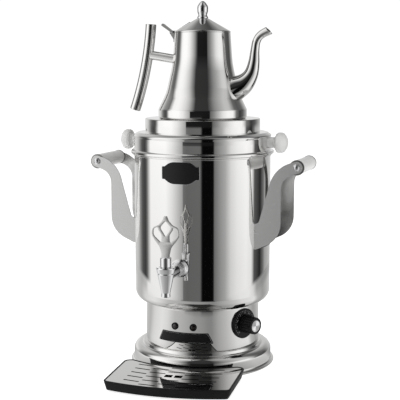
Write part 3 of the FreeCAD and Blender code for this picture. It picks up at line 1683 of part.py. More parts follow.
def build():
    nuts = dome_nuts()
    return {
        "foot_shell": foot_shell(),
        "base_plate": base_plate(),
        "case_screws": case_screws(),
        "rubber_feet": rubber_feet(),
        "control_housing": control_housing(),
        "lamp_bezels": lamp_bezels(),
        "lamp_lenses": lamp_lenses(),
        "label_plate": label_plate(),
        "dial_plate": dial_plate(),
        "thermostat_knob": thermostat_knob(),
        "knob_insert": knob_insert(),
        "thermostat_shaft": thermostat_shaft(),
        "thermostat_body": thermostat_body(),
        "thermostat_bracket": thermostat_bracket(),
        "bracket_screws": bracket_screws(),
        "cord_gland": cord_gland(),
        "gland_nut": gland_nut(),
        "tank_shell": tank_shell(),
        "tank_stud_nuts": stud_nuts(),
        "heating_element": heating_element(),
        "element_gaskets": element_gaskets(),
        "element_nuts": element_nuts(),
        "capillary_and_bulb": capillary(),
        "bulb_clip": bulb_clip(),
        "thermal_cutout": thermal_cutout(),
        "terminal_block": terminal_block(),
        "handle_bracket_right": handle_bracket(),
        "handle_bracket_left": mirrored_in_x(handle_bracket()),
        "grip_right": grip(),
        "grip_left": mirrored_in_x(grip()),
        "grip_rods": group([grip_rod(), mirrored_in_x(grip_rod())]),
        "grip_dome_nuts": group(nuts + [mirrored_in_x(nut) for nut in nuts]),
        "tap_body": tap_body(),
        "tap_bonnet": tap_bonnet(),
        "tap_plug": tap_plug(),
        "tap_collar": tap_collar(),
        "tap_key": tap_key(),
        "tap_key_pin": tap_key_pin(),
        "tap_escutcheon": tap_escutcheon(),
        "tap_nut": tap_nut(),
        "tap_gaskets": tap_gaskets(),
        "tap_lock_nut": tap_lock_nut(),
        "lid_ring": lid_ring(),
        "seat_ring": seat_ring(),
        "lid_knob_right": lid_knob(),
        "lid_knob_left": mirrored_in_x(lid_knob()),
        "lid_knob_screws": group([lid_knob_screw(), mirrored_in_x(lid_knob_screw())]),
        "teapot_body": teapot_body(),
        "teapot_base": teapot_base(),
        "teapot_spout": teapot_spout(),
        "teapot_handle": teapot_handle(),
        "handle_strut": handle_strut(),
        "hinge_bracket": hinge_bracket(),
        "hinge_pin": hinge_pin(),
        "teapot_lid": teapot_lid(),
        "lid_strap": lid_strap(),
        "finial": finial(),
        "drip_tray": drip_tray(),
        "tray_pads": tray_pads(),
        "grille": grille(),
    }


def export(pieces):
    os.makedirs("parts", exist_ok=True)
    for name, shape in pieces.items():
        solids = shape.Solids
        sound = all(solid.isValid() and solid.isClosed() and solid.Volume > 0 for solid in solids)
        state = "" if sound and solids else "NOT SOUND"
        print(name, len(solids), "solids", round(shape.Volume), "mm3", state)
        shape.exportStep("parts/" + name + ".step")


export(build())
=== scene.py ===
"""Electric tea urn: spun steel bodies, cast tap, sheet handles and plastic fittings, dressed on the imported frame."""
import math

import bmesh
import bpy
from bpy.props import FloatProperty, FloatVectorProperty, IntProperty, PointerProperty
from mathutils import Matrix, Vector


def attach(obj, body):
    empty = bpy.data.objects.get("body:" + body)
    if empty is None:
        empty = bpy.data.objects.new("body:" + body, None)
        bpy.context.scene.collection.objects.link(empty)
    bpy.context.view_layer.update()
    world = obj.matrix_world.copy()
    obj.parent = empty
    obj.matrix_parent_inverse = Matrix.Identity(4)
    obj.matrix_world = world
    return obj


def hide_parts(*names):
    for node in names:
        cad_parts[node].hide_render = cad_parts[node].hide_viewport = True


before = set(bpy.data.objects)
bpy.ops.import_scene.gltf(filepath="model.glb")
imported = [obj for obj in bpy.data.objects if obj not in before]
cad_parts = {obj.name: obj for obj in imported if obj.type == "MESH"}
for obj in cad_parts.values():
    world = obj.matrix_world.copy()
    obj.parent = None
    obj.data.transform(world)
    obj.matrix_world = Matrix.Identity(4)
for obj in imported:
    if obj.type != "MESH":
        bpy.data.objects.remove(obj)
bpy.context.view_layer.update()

bl_info = {
    "name": "Tea urn",
    "version": (1, 0, 0),
    "blender": (4, 5, 0),
    "location": "3D View > Sidebar > Tea urn",
    "description": "Builds an electric tea urn with its teapot, tap and drip tray",
    "category": "Add Mesh",
}

MM = 0.001
QUARTER = math.pi / 2


# Sizes and colours that a user would change

def length(label, millimetres, words):
    return FloatProperty(name=label, description=words, default=millimetres * MM, min=0.0,
                         subtype="DISTANCE", unit="LENGTH", precision=5)


def angle(label, degrees, words):
    return FloatProperty(name=label, description=words, default=math.radians(degrees),
                         subtype="ANGLE", unit="ROTATION")


def share(label, value, words):
    return FloatProperty(name=label, description=words, default=value, min=0.0, max=1.0, subtype="FACTOR")


def number(label, value, words):
    return IntProperty(name=label, description=words, default=value, min=0)


def colour(label, value, words):
    return FloatVectorProperty(name=label, description=words, default=value, size=3, min=0.0, max=1.0,
                               subtype="COLOR")


class TeaUrnBodySizes(bpy.types.PropertyGroup):
    """Foot, control housing and tank"""
    foot_radius: length("Foot radius", 118.7, "Wall of the flared foot")
    foot_flare: length("Foot flare", 5.3, "How far the rolled lip stands out")
    foot_top: length("Foot top", 38.0, "Level of the foot's flat top")
    foot_sheet: length("Foot sheet", 1.2, "Thickness of the foot's steel")
    housing_radius: length("Housing radius", 97.5, "Wall of the control housing")
    housing_top: length("Housing top", 108.0, "Level where the tank stands on the housing")
    tank_radius: length("Tank radius", 116.0, "Wall of the water tank")
    tank_top: length("Tank top", 361.0, "Level of the tank's rim")
    tank_corner: length("Tank corner", 20.0, "Rounding between the tank's wall and floor")
    sheet: length("Sheet", 1.0, "Thickness of the spun steel")
    rim_width: length("Rim width", 2.0, "How far the rolled rim stands out")
    rim_height: length("Rim height", 3.2, "Height of the rolled rim")
    segments: number("Segments", 256, "Facets round a large spun body")


class TeaUrnLidSizes(bpy.types.PropertyGroup):
    """Lid, seat and teapot"""
    lid_top: length("Lid top", 397.0, "Level of the lid's flat top")
    seat_radius: length("Seat radius", 97.7, "Wall of the raised seat")
    seat_top: length("Seat top", 420.0, "Level that the teapot stands on")
    knob_height: length("Knob height", 20.0, "Middle of the white knobs above the tank's rim")
    pot_base_radius: length("Teapot base radius", 75.0, "Band at the foot of the teapot")
    pot_mouth_radius: length("Teapot mouth radius", 47.0, "Radius at the teapot's mouth")
    pot_mouth: length("Teapot mouth", 562.5, "Level of the teapot's mouth")
    weld_bead: length("Weld bead", 0.55, "Radius of the polished fillet where tubes meet the teapot")


class TeaUrnTapSizes(bpy.types.PropertyGroup):
    """Tap and its key"""
    reach: length("Reach", 65.0, "From the tank's wall to the tap's upright axis")
    port_height: length("Port height", 182.0, "Level of the shank's middle line")
    key_thickness: length("Key thickness", 2.0, "Thickness of the flat key")
    key_edge: length("Key edge", 0.45, "Rounding along the key's edges")


class TeaUrnControlSizes(bpy.types.PropertyGroup):
    """Lamps, label and thermostat"""
    dial_angle: angle("Dial angle", 63.5, "Where the thermostat sits, turned from the front towards the spout's side")
    dial_height: length("Dial height", 80.0, "Level of the thermostat's middle")
    lamp_angle: angle("Lamp angle", 9.4, "How far each lamp stands from the front line")
    lamp_height: length("Lamp height", 79.7, "Level of the two lamps")
    flute_count: number("Flutes", 20, "Ribs round the thermostat knob")
    flute_depth: length("Flute depth", 1.2, "Depth of the grooves between the ribs")
    tick_count: number("Ticks", 28, "Printed strokes round the dial")


class TeaUrnTraySizes(bpy.types.PropertyGroup):
    """Drip tray and its grille"""
    width: length("Tray width", 204.8, "Width of the tray's rim")
    top: length("Tray top", 19.0, "Level of the tray's rim")
    place_x: length("Tray place", 4.0, "How far the loose tray stands to the right of the tap")
    turn: FloatProperty(name="Tray turn", description="How far askew the loose tray stands",
                        default=math.radians(5.2), subtype="ANGLE")
    slot_length: length("Slot length", 28.0, "Length of a slot in the grille")
    slot_width: length("Slot width", 3.6, "Width of a slot in the grille")
    grille_thickness: length("Grille thickness", 1.0, "Thickness of the steel grille")


class TeaUrnFinishes(bpy.types.PropertyGroup):
    """Colours and polish"""
    steel: colour("Steel", (0.79, 0.785, 0.775), "Polished stainless steel")
    satin: colour("Satin steel", (0.72, 0.72, 0.71), "Brushed steel of the handles and the key")
    chrome: colour("Chrome", (0.83, 0.83, 0.84), "Plated fittings")
    white: colour("White plastic", (0.78, 0.78, 0.77), "Grips and lid knobs")
    black: colour("Black plastic", (0.006, 0.006, 0.0065), "Tray, knob and dial")
    print_grey: colour("Print", (0.30, 0.30, 0.30), "Strokes and figures on the dial")
    polish: share("Polish", 0.022, "Roughness of the mirror-bright steel")
    satin_roughness: share("Satin roughness", 0.25, "Roughness of the brushed steel")


class TeaUrnStage(bpy.types.PropertyGroup):
    """Camera, light and floor"""
    azimuth: angle("Azimuth", 18.5, "Camera's place, turned from the front towards the spout's side")
    distance: FloatProperty(name="Distance", description="Level distance from the urn's axis", default=1.703,
                            unit="LENGTH")
    height: FloatProperty(name="Height", description="Camera height above the table", default=0.5096, unit="LENGTH")
    pitch: angle("Pitch", 7.71, "How far the camera looks down")
    yaw: angle("Yaw", 0.149, "How far the camera looks past the urn's left side")
    lens: FloatProperty(name="Lens", description="Focal length in millimetres", default=90.0)
    floor_tone: colour("Floor tone", (0.93, 0.93, 0.925), "Pale floor")


class TeaUrnSettings(bpy.types.PropertyGroup):
    """All settings of the tea urn"""
    body: PointerProperty(type=TeaUrnBodySizes)
    lid: PointerProperty(type=TeaUrnLidSizes)
    tap: PointerProperty(type=TeaUrnTapSizes)
    control: PointerProperty(type=TeaUrnControlSizes)
    tray: PointerProperty(type=TeaUrnTraySizes)
    finish: PointerProperty(type=TeaUrnFinishes)
    stage: PointerProperty(type=TeaUrnStage)


def settings():
    return bpy.context.scene.tea_urn


# Outlines: corners are (across, up, rounding) in millimetres

ROOM_LEFT = 0.999       # share of a side that two roundings may fill
ARC_STEP = 7.0          # degrees between the points of a rounded corner
LONG_RUN = 3.0          # sides over this length get supports
SUPPORT = 0.8           # how far a support stands from its corner
SUPPORT_SHARE = 0.2     # and at most this share of the side


def corner_reaches(corners, closed):
    """How far along its sides each corner's rounding reaches."""
    count = len(corners)
    reaches = []
    for i, (u, v, rounding) in enumerate(corners):
        if rounding <= 0 or (not closed and i in (0, count - 1)):
            reaches.append(0.0)
            continue
        before = Vector(corners[i - 1][:2]) - Vector((u, v))
        after = Vector(corners[(i + 1) % count][:2]) - Vector((u, v))
        reaches.append(rounding / math.tan(max(before.angle(after), 1e-4) / 2))
    for i in range(count if closed else count - 1):
        following = (i + 1) % count
        run = (Vector(corners[following][:2]) - Vector(corners[i][:2])).length
        wanted = reaches[i] + reaches[following]
        if wanted > run:
            reaches[i] *= ROOM_LEFT * run / wanted
            reaches[following] *= ROOM_LEFT * run / wanted
    return reaches


def corner_points(corners, i, reach, count_per_corner):
    """The points of one rounded corner."""
    place = Vector(corners[i][:2])
    if reach <= 0:
        return [place.copy()]
    back = (Vector(corners[i - 1][:2]) - place).normalized()
    ahead = (Vector(corners[(i + 1) % len(corners)][:2]) - place).normalized()
    half = back.angle(ahead) / 2
    radius = reach * math.tan(half)
    centre = place + (back + ahead).normalized() * (radius / math.sin(half))
    start = place + back * reach - centre
    sweep = math.pi - 2 * half
    turn = 1 if back.x * ahead.y - back.y * ahead.x < 0 else -1
    steps = count_per_corner or max(2, math.ceil(math.degrees(sweep) / ARC_STEP))
    points = []
    for k in range(steps + 1):
        a = turn * sweep * k / steps
        points.append(centre + Vector((start.x * math.cos(a) - start.y * math.sin(a),
                                       start.x * math.sin(a) + start.y * math.cos(a))))
    return points


def rounded(corners, closed=False, per_corner=None, supports=True):
    """Points along an outline with rounded corners; long runs get a point near each end, so shading stays flat."""
    reaches = corner_reaches(corners, closed)
    groups = [corner_points(corners, i, reaches[i], per_corner) for i in range(len(corners))]
    points = []
    for i, group in enumerate(groups):
        points += group
        if not supports or (i == len(groups) - 1 and not closed):
            continue
        start, end = group[-1], groups[(i + 1) % len(groups)][0]
        run = (end - start).length
        if run > LONG_RUN:
            margin = min(SUPPORT, run * SUPPORT_SHARE)
            along = (end - start) / run
            points += [start + along * margin, end - along * margin]
    return points


def inset(corners, distance, closed=False):
    """The corners of an outline moved to its left by a distance."""
    count = len(corners)
    moved = []
    for i in range(count):
        here = corners[i]
        normals = []
        for start, end in ((corners[i - 1] if closed or i > 0 else None, here),
                           (here, corners[(i + 1) % count] if closed or i < count - 1 else None)):
            if start is None or end is None:
                continue
            du, dv = end[0] - start[0], end[1] - start[1]
            run = math.hypot(du, dv)
            normals.append((-dv / run, du / run))
        if len(normals) == 1:
            moved.append((here[0] + normals[0][0] * distance, here[1] + normals[0][1] * distance, 0))
            continue
        first, second = normals
        shared = 1 + first[0] * second[0] + first[1] * second[1]
        turn = first[0] * second[1] - first[1] * second[0]
        rounding = here[2] - distance if turn > 0 else here[2] + distance
        moved.append((here[0] + (first[0] + second[0]) * distance / shared,
                      here[1] + (first[1] + second[1]) * distance / shared,
                      max(rounding, 0) if here[2] > 0 or turn < 0 else 0))
    return moved


def sheet_section(corners, thickness):
    """The closed section of a spun sheet whose outer side follows the corners."""
    return rounded(corners) + rounded(inset(corners, thickness))[::-1]


# Meshes

DOUBLES = 1e-6          # metres
PLAIN_ANGLE = 32.0      # degrees; steeper edges are shaded sharp
EDGE_ANGLE = 35.0       # degrees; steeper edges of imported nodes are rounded
BEAD_SIDES = 8


def smooth(mesh, limit=PLAIN_ANGLE):
    """Smooth shading, with sharp edges where faces meet at more than a limit."""
    mesh.shade_smooth()
    mesh.set_sharp_from_angle(angle=math.radians(limit))
    return mesh


def mesh_from(name, build):
    """A shaded mesh from what a function builds."""
    mesh = bpy.data.meshes.new(name)
    work = bmesh.new()
    build(work)
    bmesh.ops.remove_doubles(work, verts=work.verts, dist=DOUBLES)
    bmesh.ops.recalc_face_normals(work, faces=work.faces)
    work.to_mesh(mesh)
    work.free()
    return smooth(mesh)


def tidy(mesh, limit=PLAIN_ANGLE):
    """Merges doubles, turns the faces outwards and shades."""
    work = bmesh.new()
    work.from_mesh(mesh)
    bmesh.ops.remove_doubles(work, verts=work.verts, dist=2 * DOUBLES)
    bmesh.ops.dissolve_degenerate(work, dist=DOUBLES, edges=work.edges)
    bmesh.ops.recalc_face_normals(work, faces=work.faces)
    work.to_mesh(mesh)
    work.free()
    return smooth(mesh, limit)


def joined(name, meshes):
    """One mesh from several, each kept as it is, with its materials."""
    result = bpy.data.meshes.new(name)
    work = bmesh.new()
    slots = []
    for mesh in meshes:
        start = len(work.faces)
        work.from_mesh(mesh)
        work.faces.ensure_lookup_table()
        slots += [material for material in mesh.materials if material not in slots]
        for face in work.faces[start:]:
            face.material_index = slots.index(mesh.materials[face.material_index]) if mesh.materials else 0
    work.to_mesh(result)
    work.free()
    for material in slots:
        result.materials.append(material)
    return result


def circle(centre, side, other, radius, count):
    """Places round a circle that two directions span."""
    turns = [2 * math.pi * j / count for j in range(count)]
    return [centre + (side * math.cos(turn) + other * math.sin(turn)) * radius for turn in turns]


def grid_faces(work, rows, closed_rows=False):
    """Faces between rings of vertices of equal length."""
    for i in range(len(rows) if closed_rows else len(rows) - 1):
        a, b = rows[i], rows[(i + 1) % len(rows)]
        for j in range(len(a)):
            k = (j + 1) % len(a)
            work.faces.new((a[j], a[k], b[k], b[j]))


def skin(work, rings, closed_rows=False, ends=False):
    """A skin over rings of places, with flat ends where they are asked for."""
    rows = [[work.verts.new(place) for place in ring] for ring in rings]
    grid_faces(work, rows, closed_rows)
    if ends:
        work.faces.new(rows[0])
        work.faces.new(rows[-1])


def tube_mesh(name, places, radii, count):
    """A round tube through places, with a radius at each."""
    rings = []
    side = None
    for i, place in enumerate(places):
        ahead = (places[min(i + 1, len(places) - 1)] - places[max(i - 1, 0)]).normalized()
        if side is None:
            side = ahead.orthogonal().normalized()
        side = (side - ahead * side.dot(ahead)).normalized()
        rings.append(circle(place, side, ahead.cross(side), radii[i], count))
    return mesh_from(name, lambda work: skin(work, rings, ends=True))


def bead_mesh(name, places, radius):
    """A closed ring of round wire through places, for a weld or a rolled edge."""
    middle = sum(places, Vector()) / len(places)
    rings = []
    for i, place in enumerate(places):
        ahead = (places[(i + 1) % len(places)] - places[i - 1]).normalized()
        out = place - middle
        out = (out - ahead * out.dot(ahead)).normalized()
        rings.append(circle(place, out, ahead.cross(out), radius, BEAD_SIDES))
    return mesh_from(name, lambda work: skin(work, rings, closed_rows=True))


def flat_mesh(name, outlines, thickness, edge, resolution=2):
    """A flat plate in the XY plane, centred on its thickness, from an outline and its holes, with rounded edges."""
    curve = bpy.data.curves.new(name, "CURVE")
    curve.dimensions = "2D"
    curve.fill_mode = "BOTH"
    curve.extrude = thickness / 2 - edge
    curve.bevel_depth = edge
    curve.bevel_resolution = resolution
    curve.offset = -edge
    for outline in outlines:
        spline = curve.splines.new("POLY")
        spline.points.add(len(outline) - 1)
        for point, place in zip(spline.points, outline):
            point.co = (place[0] * MM, place[1] * MM, 0, 1)
        spline.use_cyclic_u = True
    return mesh_of_curve(curve)


def evaluated_mesh(holder):
    """The mesh of an object with its modifiers; the object goes."""
    bpy.context.view_layer.update()
    evaluated = holder.evaluated_get(bpy.context.evaluated_depsgraph_get())
    mesh = bpy.data.meshes.new_from_object(evaluated)
    holder.modifiers.clear()
    bpy.data.objects.remove(holder)
    return mesh


def linked(name, data):
    """A new object that is in the scene."""
    item = bpy.data.objects.new(name, data)
    bpy.context.scene.collection.objects.link(item)
    return item


def mesh_of_curve(curve):
    mesh = evaluated_mesh(linked(curve.name, curve))
    bpy.data.curves.remove(curve)
    return tidy(mesh)


def edged_copy(node, width):
    """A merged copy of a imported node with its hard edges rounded."""
    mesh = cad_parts[node].data.copy()
    mesh.materials.clear()
    holder = linked(node + "_copy", mesh)
    work = bmesh.new()
    work.from_mesh(mesh)
    bmesh.ops.remove_doubles(work, verts=work.verts, dist=DOUBLES)
    bmesh.ops.dissolve_limit(work, angle_limit=math.radians(1.0), verts=work.verts, edges=work.edges)
    work.to_mesh(mesh)
    work.free()
    bevel = holder.modifiers.new("Rounded edges", "BEVEL")
    bevel.width = width
    bevel.segments = 2
    bevel.limit_method = "ANGLE"
    bevel.angle_limit = math.radians(EDGE_ANGLE)
    mesh.shade_smooth()
    holder.modifiers.new("Flat faces", "WEIGHTED_NORMAL").weight = 100
    return evaluated_mesh(holder)


# Node trees

FLOAT, WHOLE, VECTOR = "NodeSocketFloat", "NodeSocketInt", "NodeSocketVector"
SHAPE, MATERIAL = "NodeSocketGeometry", "NodeSocketMaterial"
RIB_SHARPNESS = 1.6
SLOT_ROUNDING = 0.475   # share of a slot's width
NEARLY = 0.1            # a whole number is met within this


def sum_of(operation, swapped=False):
    """What a sign does between a value and another value or number."""
    def work(value, other):
        return value.wiring.maths(operation, *((other, value) if swapped else (value, other)))
    return work


class Value:
    """A socket that can be added, taken away, multiplied and divided."""

    def __init__(self, wiring, socket):
        self.wiring, self.socket = wiring, socket

    __add__, __radd__ = sum_of("ADD"), sum_of("ADD", True)
    __sub__, __rsub__ = sum_of("SUBTRACT"), sum_of("SUBTRACT", True)
    __mul__, __rmul__ = sum_of("MULTIPLY"), sum_of("MULTIPLY", True)
    __truediv__, __mod__ = sum_of("DIVIDE"), sum_of("MODULO")


class Wiring:
    """Short calls for placing and joining nodes."""

    def __init__(self, tree):
        self.tree = tree

    def add(self, kind, values=None, **attributes):
        node = self.tree.nodes.new(kind)
        for key, value in attributes.items():
            setattr(node, key, value)
        for key, value in (values or {}).items():
            self.put(value, node.inputs[key])
        return node

    def out(self, kind, values=None, output=0, **attributes):
        """An output of a new node."""
        return Value(self, self.add(kind, values, **attributes).outputs[output])

    def put(self, value, socket):
        """Joins a value or a node's first output to a socket, or sets the socket's constant."""
        if isinstance(value, bpy.types.Node):
            value = value.outputs[0]
        if isinstance(value, Value):
            value = value.socket
        if isinstance(value, bpy.types.NodeSocket):
            self.tree.links.new(value, socket)
        else:
            socket.default_value = value

    def put_all(self, node, **values):
        """Fills a node's inputs; an underscore stands for the space in an input's name."""
        for key, value in values.items():
            self.put(value, node.inputs[key.replace("_", " ")])

    def maths(self, operation, *operands):
        return self.out("ShaderNodeMath", dict(enumerate(operands)), operation=operation)

    def vector(self, x, y, z):
        return self.out("ShaderNodeCombineXYZ", {"X": x, "Y": y, "Z": z})

    def split(self, vector):
        """A vector's X, Y and Z."""
        return [Value(self, socket) for socket in self.add("ShaderNodeSeparateXYZ", {0: vector}).outputs]

    def length(self, across, up):
        return self.maths("SQRT", across * across + up * up)

    def noise(self, where, scale, detail=2.0, roughness=0.5):
        return self.out("ShaderNodeTexNoise", {
            "Vector": where, "Scale": scale, "Detail": detail, "Roughness": roughness})

    def ranged(self, value, low, high, to_low=0.0, to_high=1.0):
        return self.out("ShaderNodeMapRange", {
            "Value": value, "From Min": low, "From Max": high, "To Min": to_low, "To Max": to_high})

    def mixed(self, factor, first, second):
        """A colour between two colours."""
        return self.out("ShaderNodeMix", {0: factor, 6: first, 7: second}, 2, data_type="RGBA")

    def mixed_shaders(self, factor, first, second):
        return self.out("ShaderNodeMixShader", {0: factor, 1: first, 2: second})

    def together(self, parts):
        """One geometry from several."""
        node = self.tree.nodes.new("GeometryNodeJoinGeometry")
        for part in parts:
            self.put(part, node.inputs[0])
        return node

    def finish(self, geometry, material, result):
        """Realize Instances and Set Material, the end of each tree."""
        solid = self.add("GeometryNodeRealizeInstances", {"Geometry": geometry})
        dressed = self.add("GeometryNodeSetMaterial", {"Geometry": solid, "Material": material})
        self.put(dressed, result.inputs["Geometry"])


def new_group(name, kind, inputs, outputs):
    """A node group with named sockets; returns it with its wiring, its inputs as values and its result node."""
    group = bpy.data.node_groups.new(name, kind)
    for label, socket_type, value in inputs:
        socket = group.interface.new_socket(label, in_out="INPUT", socket_type=socket_type)
        if value is not None:
            socket.default_value = value
    for label, socket_type in outputs:
        group.interface.new_socket(label, in_out="OUTPUT", socket_type=socket_type)
    wiring = Wiring(group)
    start, result = group.nodes.new("NodeGroupInput"), group.nodes.new("NodeGroupOutput")
    given = {label: Value(wiring, start.outputs[label]) for label, _, _ in inputs}
    return group, wiring, given, result


def geometry_group(name, inputs):
    return new_group(name, "GeometryNodeTree", [("Geometry", SHAPE, None), *inputs, ("Material", MATERIAL, None)],
                     [("Geometry", SHAPE)])


def spun_tree():
    """A section turned about the upright axis, with ribs where the section's attribute asks for them."""
    tree, wiring, given, result = geometry_group("Spun section", [
        ("Points", WHOLE, 4), ("Segments", WHOLE, 64), ("Ribs", WHOLE, 0), ("Rib depth", FLOAT, 0.0)])
    points, segments = given["Points"], given["Segments"]
    grid = wiring.add("GeometryNodeMeshGrid", {
        "Size X": points, "Size Y": segments, "Vertices X": points + 1, "Vertices Y": segments + 1})
    column, row, _ = wiring.split(wiring.out("GeometryNodeInputPosition"))
    index = wiring.maths("ROUND", column + points / 2) % points

    def sampled(value, data_type):
        return wiring.out("GeometryNodeSampleIndex", {
            "Geometry": given["Geometry"], "Value": value, "Index": index}, data_type=data_type)
    radius, _, level = wiring.split(sampled(wiring.out("GeometryNodeInputPosition"), "FLOAT_VECTOR"))
    ribbed = wiring.out("GeometryNodeInputNamedAttribute", {"Name": "ribbed"}, "Attribute", data_type="FLOAT")
    turn = wiring.maths("ROUND", row + segments / 2) / segments * (2 * math.pi)
    wave = wiring.maths("ABSOLUTE", wiring.maths("COSINE", turn * (given["Ribs"] / 2)))
    radius = radius - wiring.maths("POWER", wave, RIB_SHARPNESS) * sampled(ribbed, "FLOAT") * given["Rib depth"]
    moved_out = wiring.add("GeometryNodeSetPosition", {
        "Geometry": grid.outputs["Mesh"],
        "Position": wiring.vector(radius * wiring.maths("COSINE", turn), radius * wiring.maths("SINE", turn), level)})
    merged = wiring.add("GeometryNodeMergeByDistance", {"Geometry": moved_out, "Distance": DOUBLES})
    shaded = wiring.add("GeometryNodeSetShadeSmooth", {"Geometry": merged})
    wiring.finish(shaded, given["Material"], result)
    return tree


def ring_tree():
    """Copies of a piece, each turned on by a step about the upright axis."""
    tree, wiring, given, result = geometry_group("Copies round an axis", [
        ("Count", WHOLE, 4), ("Start", FLOAT, 0.0), ("Step", FLOAT, QUARTER)])
    turn = given["Start"] + given["Step"] * wiring.out("GeometryNodeInputIndex")
    turned_on = wiring.add("GeometryNodeInstanceOnPoints", {
        "Points": wiring.add("GeometryNodePoints", {"Count": given["Count"]}),
        "Instance": given["Geometry"], "Rotation": wiring.vector(0.0, 0.0, turn)})
    wiring.finish(turned_on, given["Material"], result)
    return tree


def slotted_tree():
    """A flat plate inside an outline, with rounded slots in staggered rows and two square finger holes."""
    tree, wiring, given, result = geometry_group("Slotted plate", [
        ("Slot length", FLOAT, 0.028), ("Slot width", FLOAT, 0.0036), ("Columns", WHOLE, 5), ("Rows", WHOLE, 5),
        ("Column pitch", FLOAT, 0.0296), ("Row pitch", FLOAT, 0.02), ("First row", FLOAT, -0.13),
        ("Row radius", FLOAT, 0.28), ("Finger hole", FLOAT, 0.0126), ("Finger gap", FLOAT, 0.0036),
        ("Thickness", FLOAT, 0.001), ("Level", FLOAT, 0.0)])
    columns, rows, first_row = given["Columns"], given["Rows"], given["First row"]
    hole_size = given["Finger hole"]

    def rectangle(across, up):
        return wiring.add("GeometryNodeCurvePrimitiveQuadrilateral", {"Width": across, "Height": up})
    outline = wiring.add("GeometryNodeMeshToCurve", {"Mesh": given["Geometry"]})
    slot = wiring.add("GeometryNodeFilletCurve", {
        "Curve": rectangle(given["Slot length"], given["Slot width"]), "Radius": given["Slot width"] * SLOT_ROUNDING,
        "Count": 5}, mode="POLY")
    points = wiring.add("GeometryNodePoints", {"Count": columns * rows})
    index = wiring.out("GeometryNodeInputIndex")
    column = wiring.maths("FLOOR", (index + 0.01) / rows)
    row = index - column * rows
    middle_column, middle_row = (columns - 1) / 2, (rows - 1) / 2
    x = (column - middle_column) * given["Column pitch"]
    y = first_row - (row + column % 2 * 0.5) * given["Row pitch"]
    y = y + x * (x / given["Row radius"]) * 0.5
    placed = wiring.add("GeometryNodeSetPosition", {"Geometry": points, "Position": wiring.vector(x, y, 0.0)})
    at_middle = (wiring.maths("COMPARE", column, middle_column, NEARLY)
                 * wiring.maths("COMPARE", row, middle_row, NEARLY))
    kept = wiring.add("GeometryNodeDeleteGeometry", {"Geometry": placed, "Selection": at_middle})
    across = wiring.split(wiring.out("GeometryNodeInputPosition"))[0]
    slots = wiring.add("GeometryNodeInstanceOnPoints", {
        "Points": kept, "Instance": slot, "Rotation": wiring.vector(0.0, 0.0, across / given["Row radius"])})
    hole = rectangle(hole_size, hole_size)
    offset = (hole_size + given["Finger gap"]) / 2
    hole_y = first_row - middle_row * given["Row pitch"]
    holes = [wiring.add("GeometryNodeTransform", {
        "Geometry": hole, "Translation": wiring.vector(offset * side, hole_y, 0.0)}) for side in (-1.0, 1.0)]
    real = wiring.add("GeometryNodeRealizeInstances", {"Geometry": wiring.together([outline, slots, *holes])})
    face = wiring.add("GeometryNodeFillCurve", {"Curve": real})
    raised = wiring.add("GeometryNodeExtrudeMesh", {
        "Mesh": face, "Offset": wiring.vector(0.0, 0.0, 1.0), "Offset Scale": given["Thickness"],
        "Individual": False})
    under = wiring.add("GeometryNodeFlipFaces", {"Mesh": face})
    closed = wiring.add("GeometryNodeMergeByDistance", {
        "Geometry": wiring.together([raised, under]), "Distance": DOUBLES})
    lifted = wiring.add("GeometryNodeTransform", {
        "Geometry": closed, "Translation": wiring.vector(0.0, 0.0, given["Level"])})
    wiring.finish(lifted, given["Material"], result)
    return tree


TREE_MAKERS = {"spun": spun_tree, "ring": ring_tree, "slotted": slotted_tree}
TREES = {}


def grown(name, mesh, tree_name, values):
    """The mesh that a geometry tree makes from a start mesh, which goes."""
    if tree_name not in TREES:
        TREES[tree_name] = TREE_MAKERS[tree_name]()
    tree = TREES[tree_name]
    identifiers = {item.name: item.identifier for item in tree.interface.items_tree if item.in_out == "INPUT"}
    holder = linked(name, mesh)
    modifier = holder.modifiers.new(tree.name, "NODES")
    modifier.node_group = tree
    for label, value in values.items():
        modifier[identifiers[label]] = value
    result = evaluated_mesh(holder)
    bpy.data.meshes.remove(mesh)
    return result


def spun(name, section, finish, segments=None, ribbed=(), ribs=0, rib_depth=0.0, limit=PLAIN_ANGLE):
    """A body turned about the upright axis from a closed section in millimetres."""
    start = bpy.data.meshes.new(name + "_section")
    start.from_pydata([(max(p[0], 0.0) * MM, 0.0, p[1] * MM) for p in section], [], [])
    if ribs:
        start.attributes.new("ribbed", "FLOAT", "POINT").data.foreach_set("value", ribbed)
    mesh = grown(name, start, "spun", {
        "Points": len(section), "Segments": segments or settings().body.segments, "Ribs": ribs,
        "Rib depth": rib_depth, "Material": material_named(finish) if finish else None})
    return tidy(mesh, limit)


def turned(name, corners, finish, segments, closed=False, supports=False, limit=PLAIN_ANGLE):
    """A body turned from the corners of its section."""
    return spun(name, rounded(corners, closed, supports=supports), finish, segments, limit=limit)


def copies(name, mesh, finish, count, start, step):
    """Copies of a mesh round the upright axis; angles in radians."""
    return smooth(grown(name, mesh, "ring", {
        "Count": count, "Start": start, "Step": step, "Material": material_named(finish)}))


# Placing

def shifted(x, y, z):
    """A move in millimetres."""
    return Matrix.Translation((x * MM, y * MM, z * MM))


def turned_out(azimuth, height):
    """Turns a piece built along +Z so that it points out from the urn; 0 is the front. Radians and metres."""
    out = Vector((math.sin(azimuth), -math.cos(azimuth), 0))
    up = Vector((0, 0, 1))
    turn = Matrix((up.cross(out), up, out)).transposed().to_4x4()
    return Matrix.Translation((0, 0, height)) @ turn


def moved(mesh, matrix):
    """The mesh itself, moved."""
    mesh.transform(matrix)
    if matrix.determinant() < 0:
        mesh.flip_normals()
    return mesh


def painted(mesh, finish):
    """The mesh with one finish alone."""
    mesh.materials.clear()
    mesh.materials.append(material_named(finish))
    return mesh


def place(name, mesh, body, slot, stands_for=(), finish=None):
    """Puts a finished mesh in the scene as a piece of the urn."""
    if finish:
        painted(mesh, finish)
    mesh.name = name
    piece = linked(name, mesh)
    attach(piece, body)
    if stands_for:
        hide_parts(*stands_for)


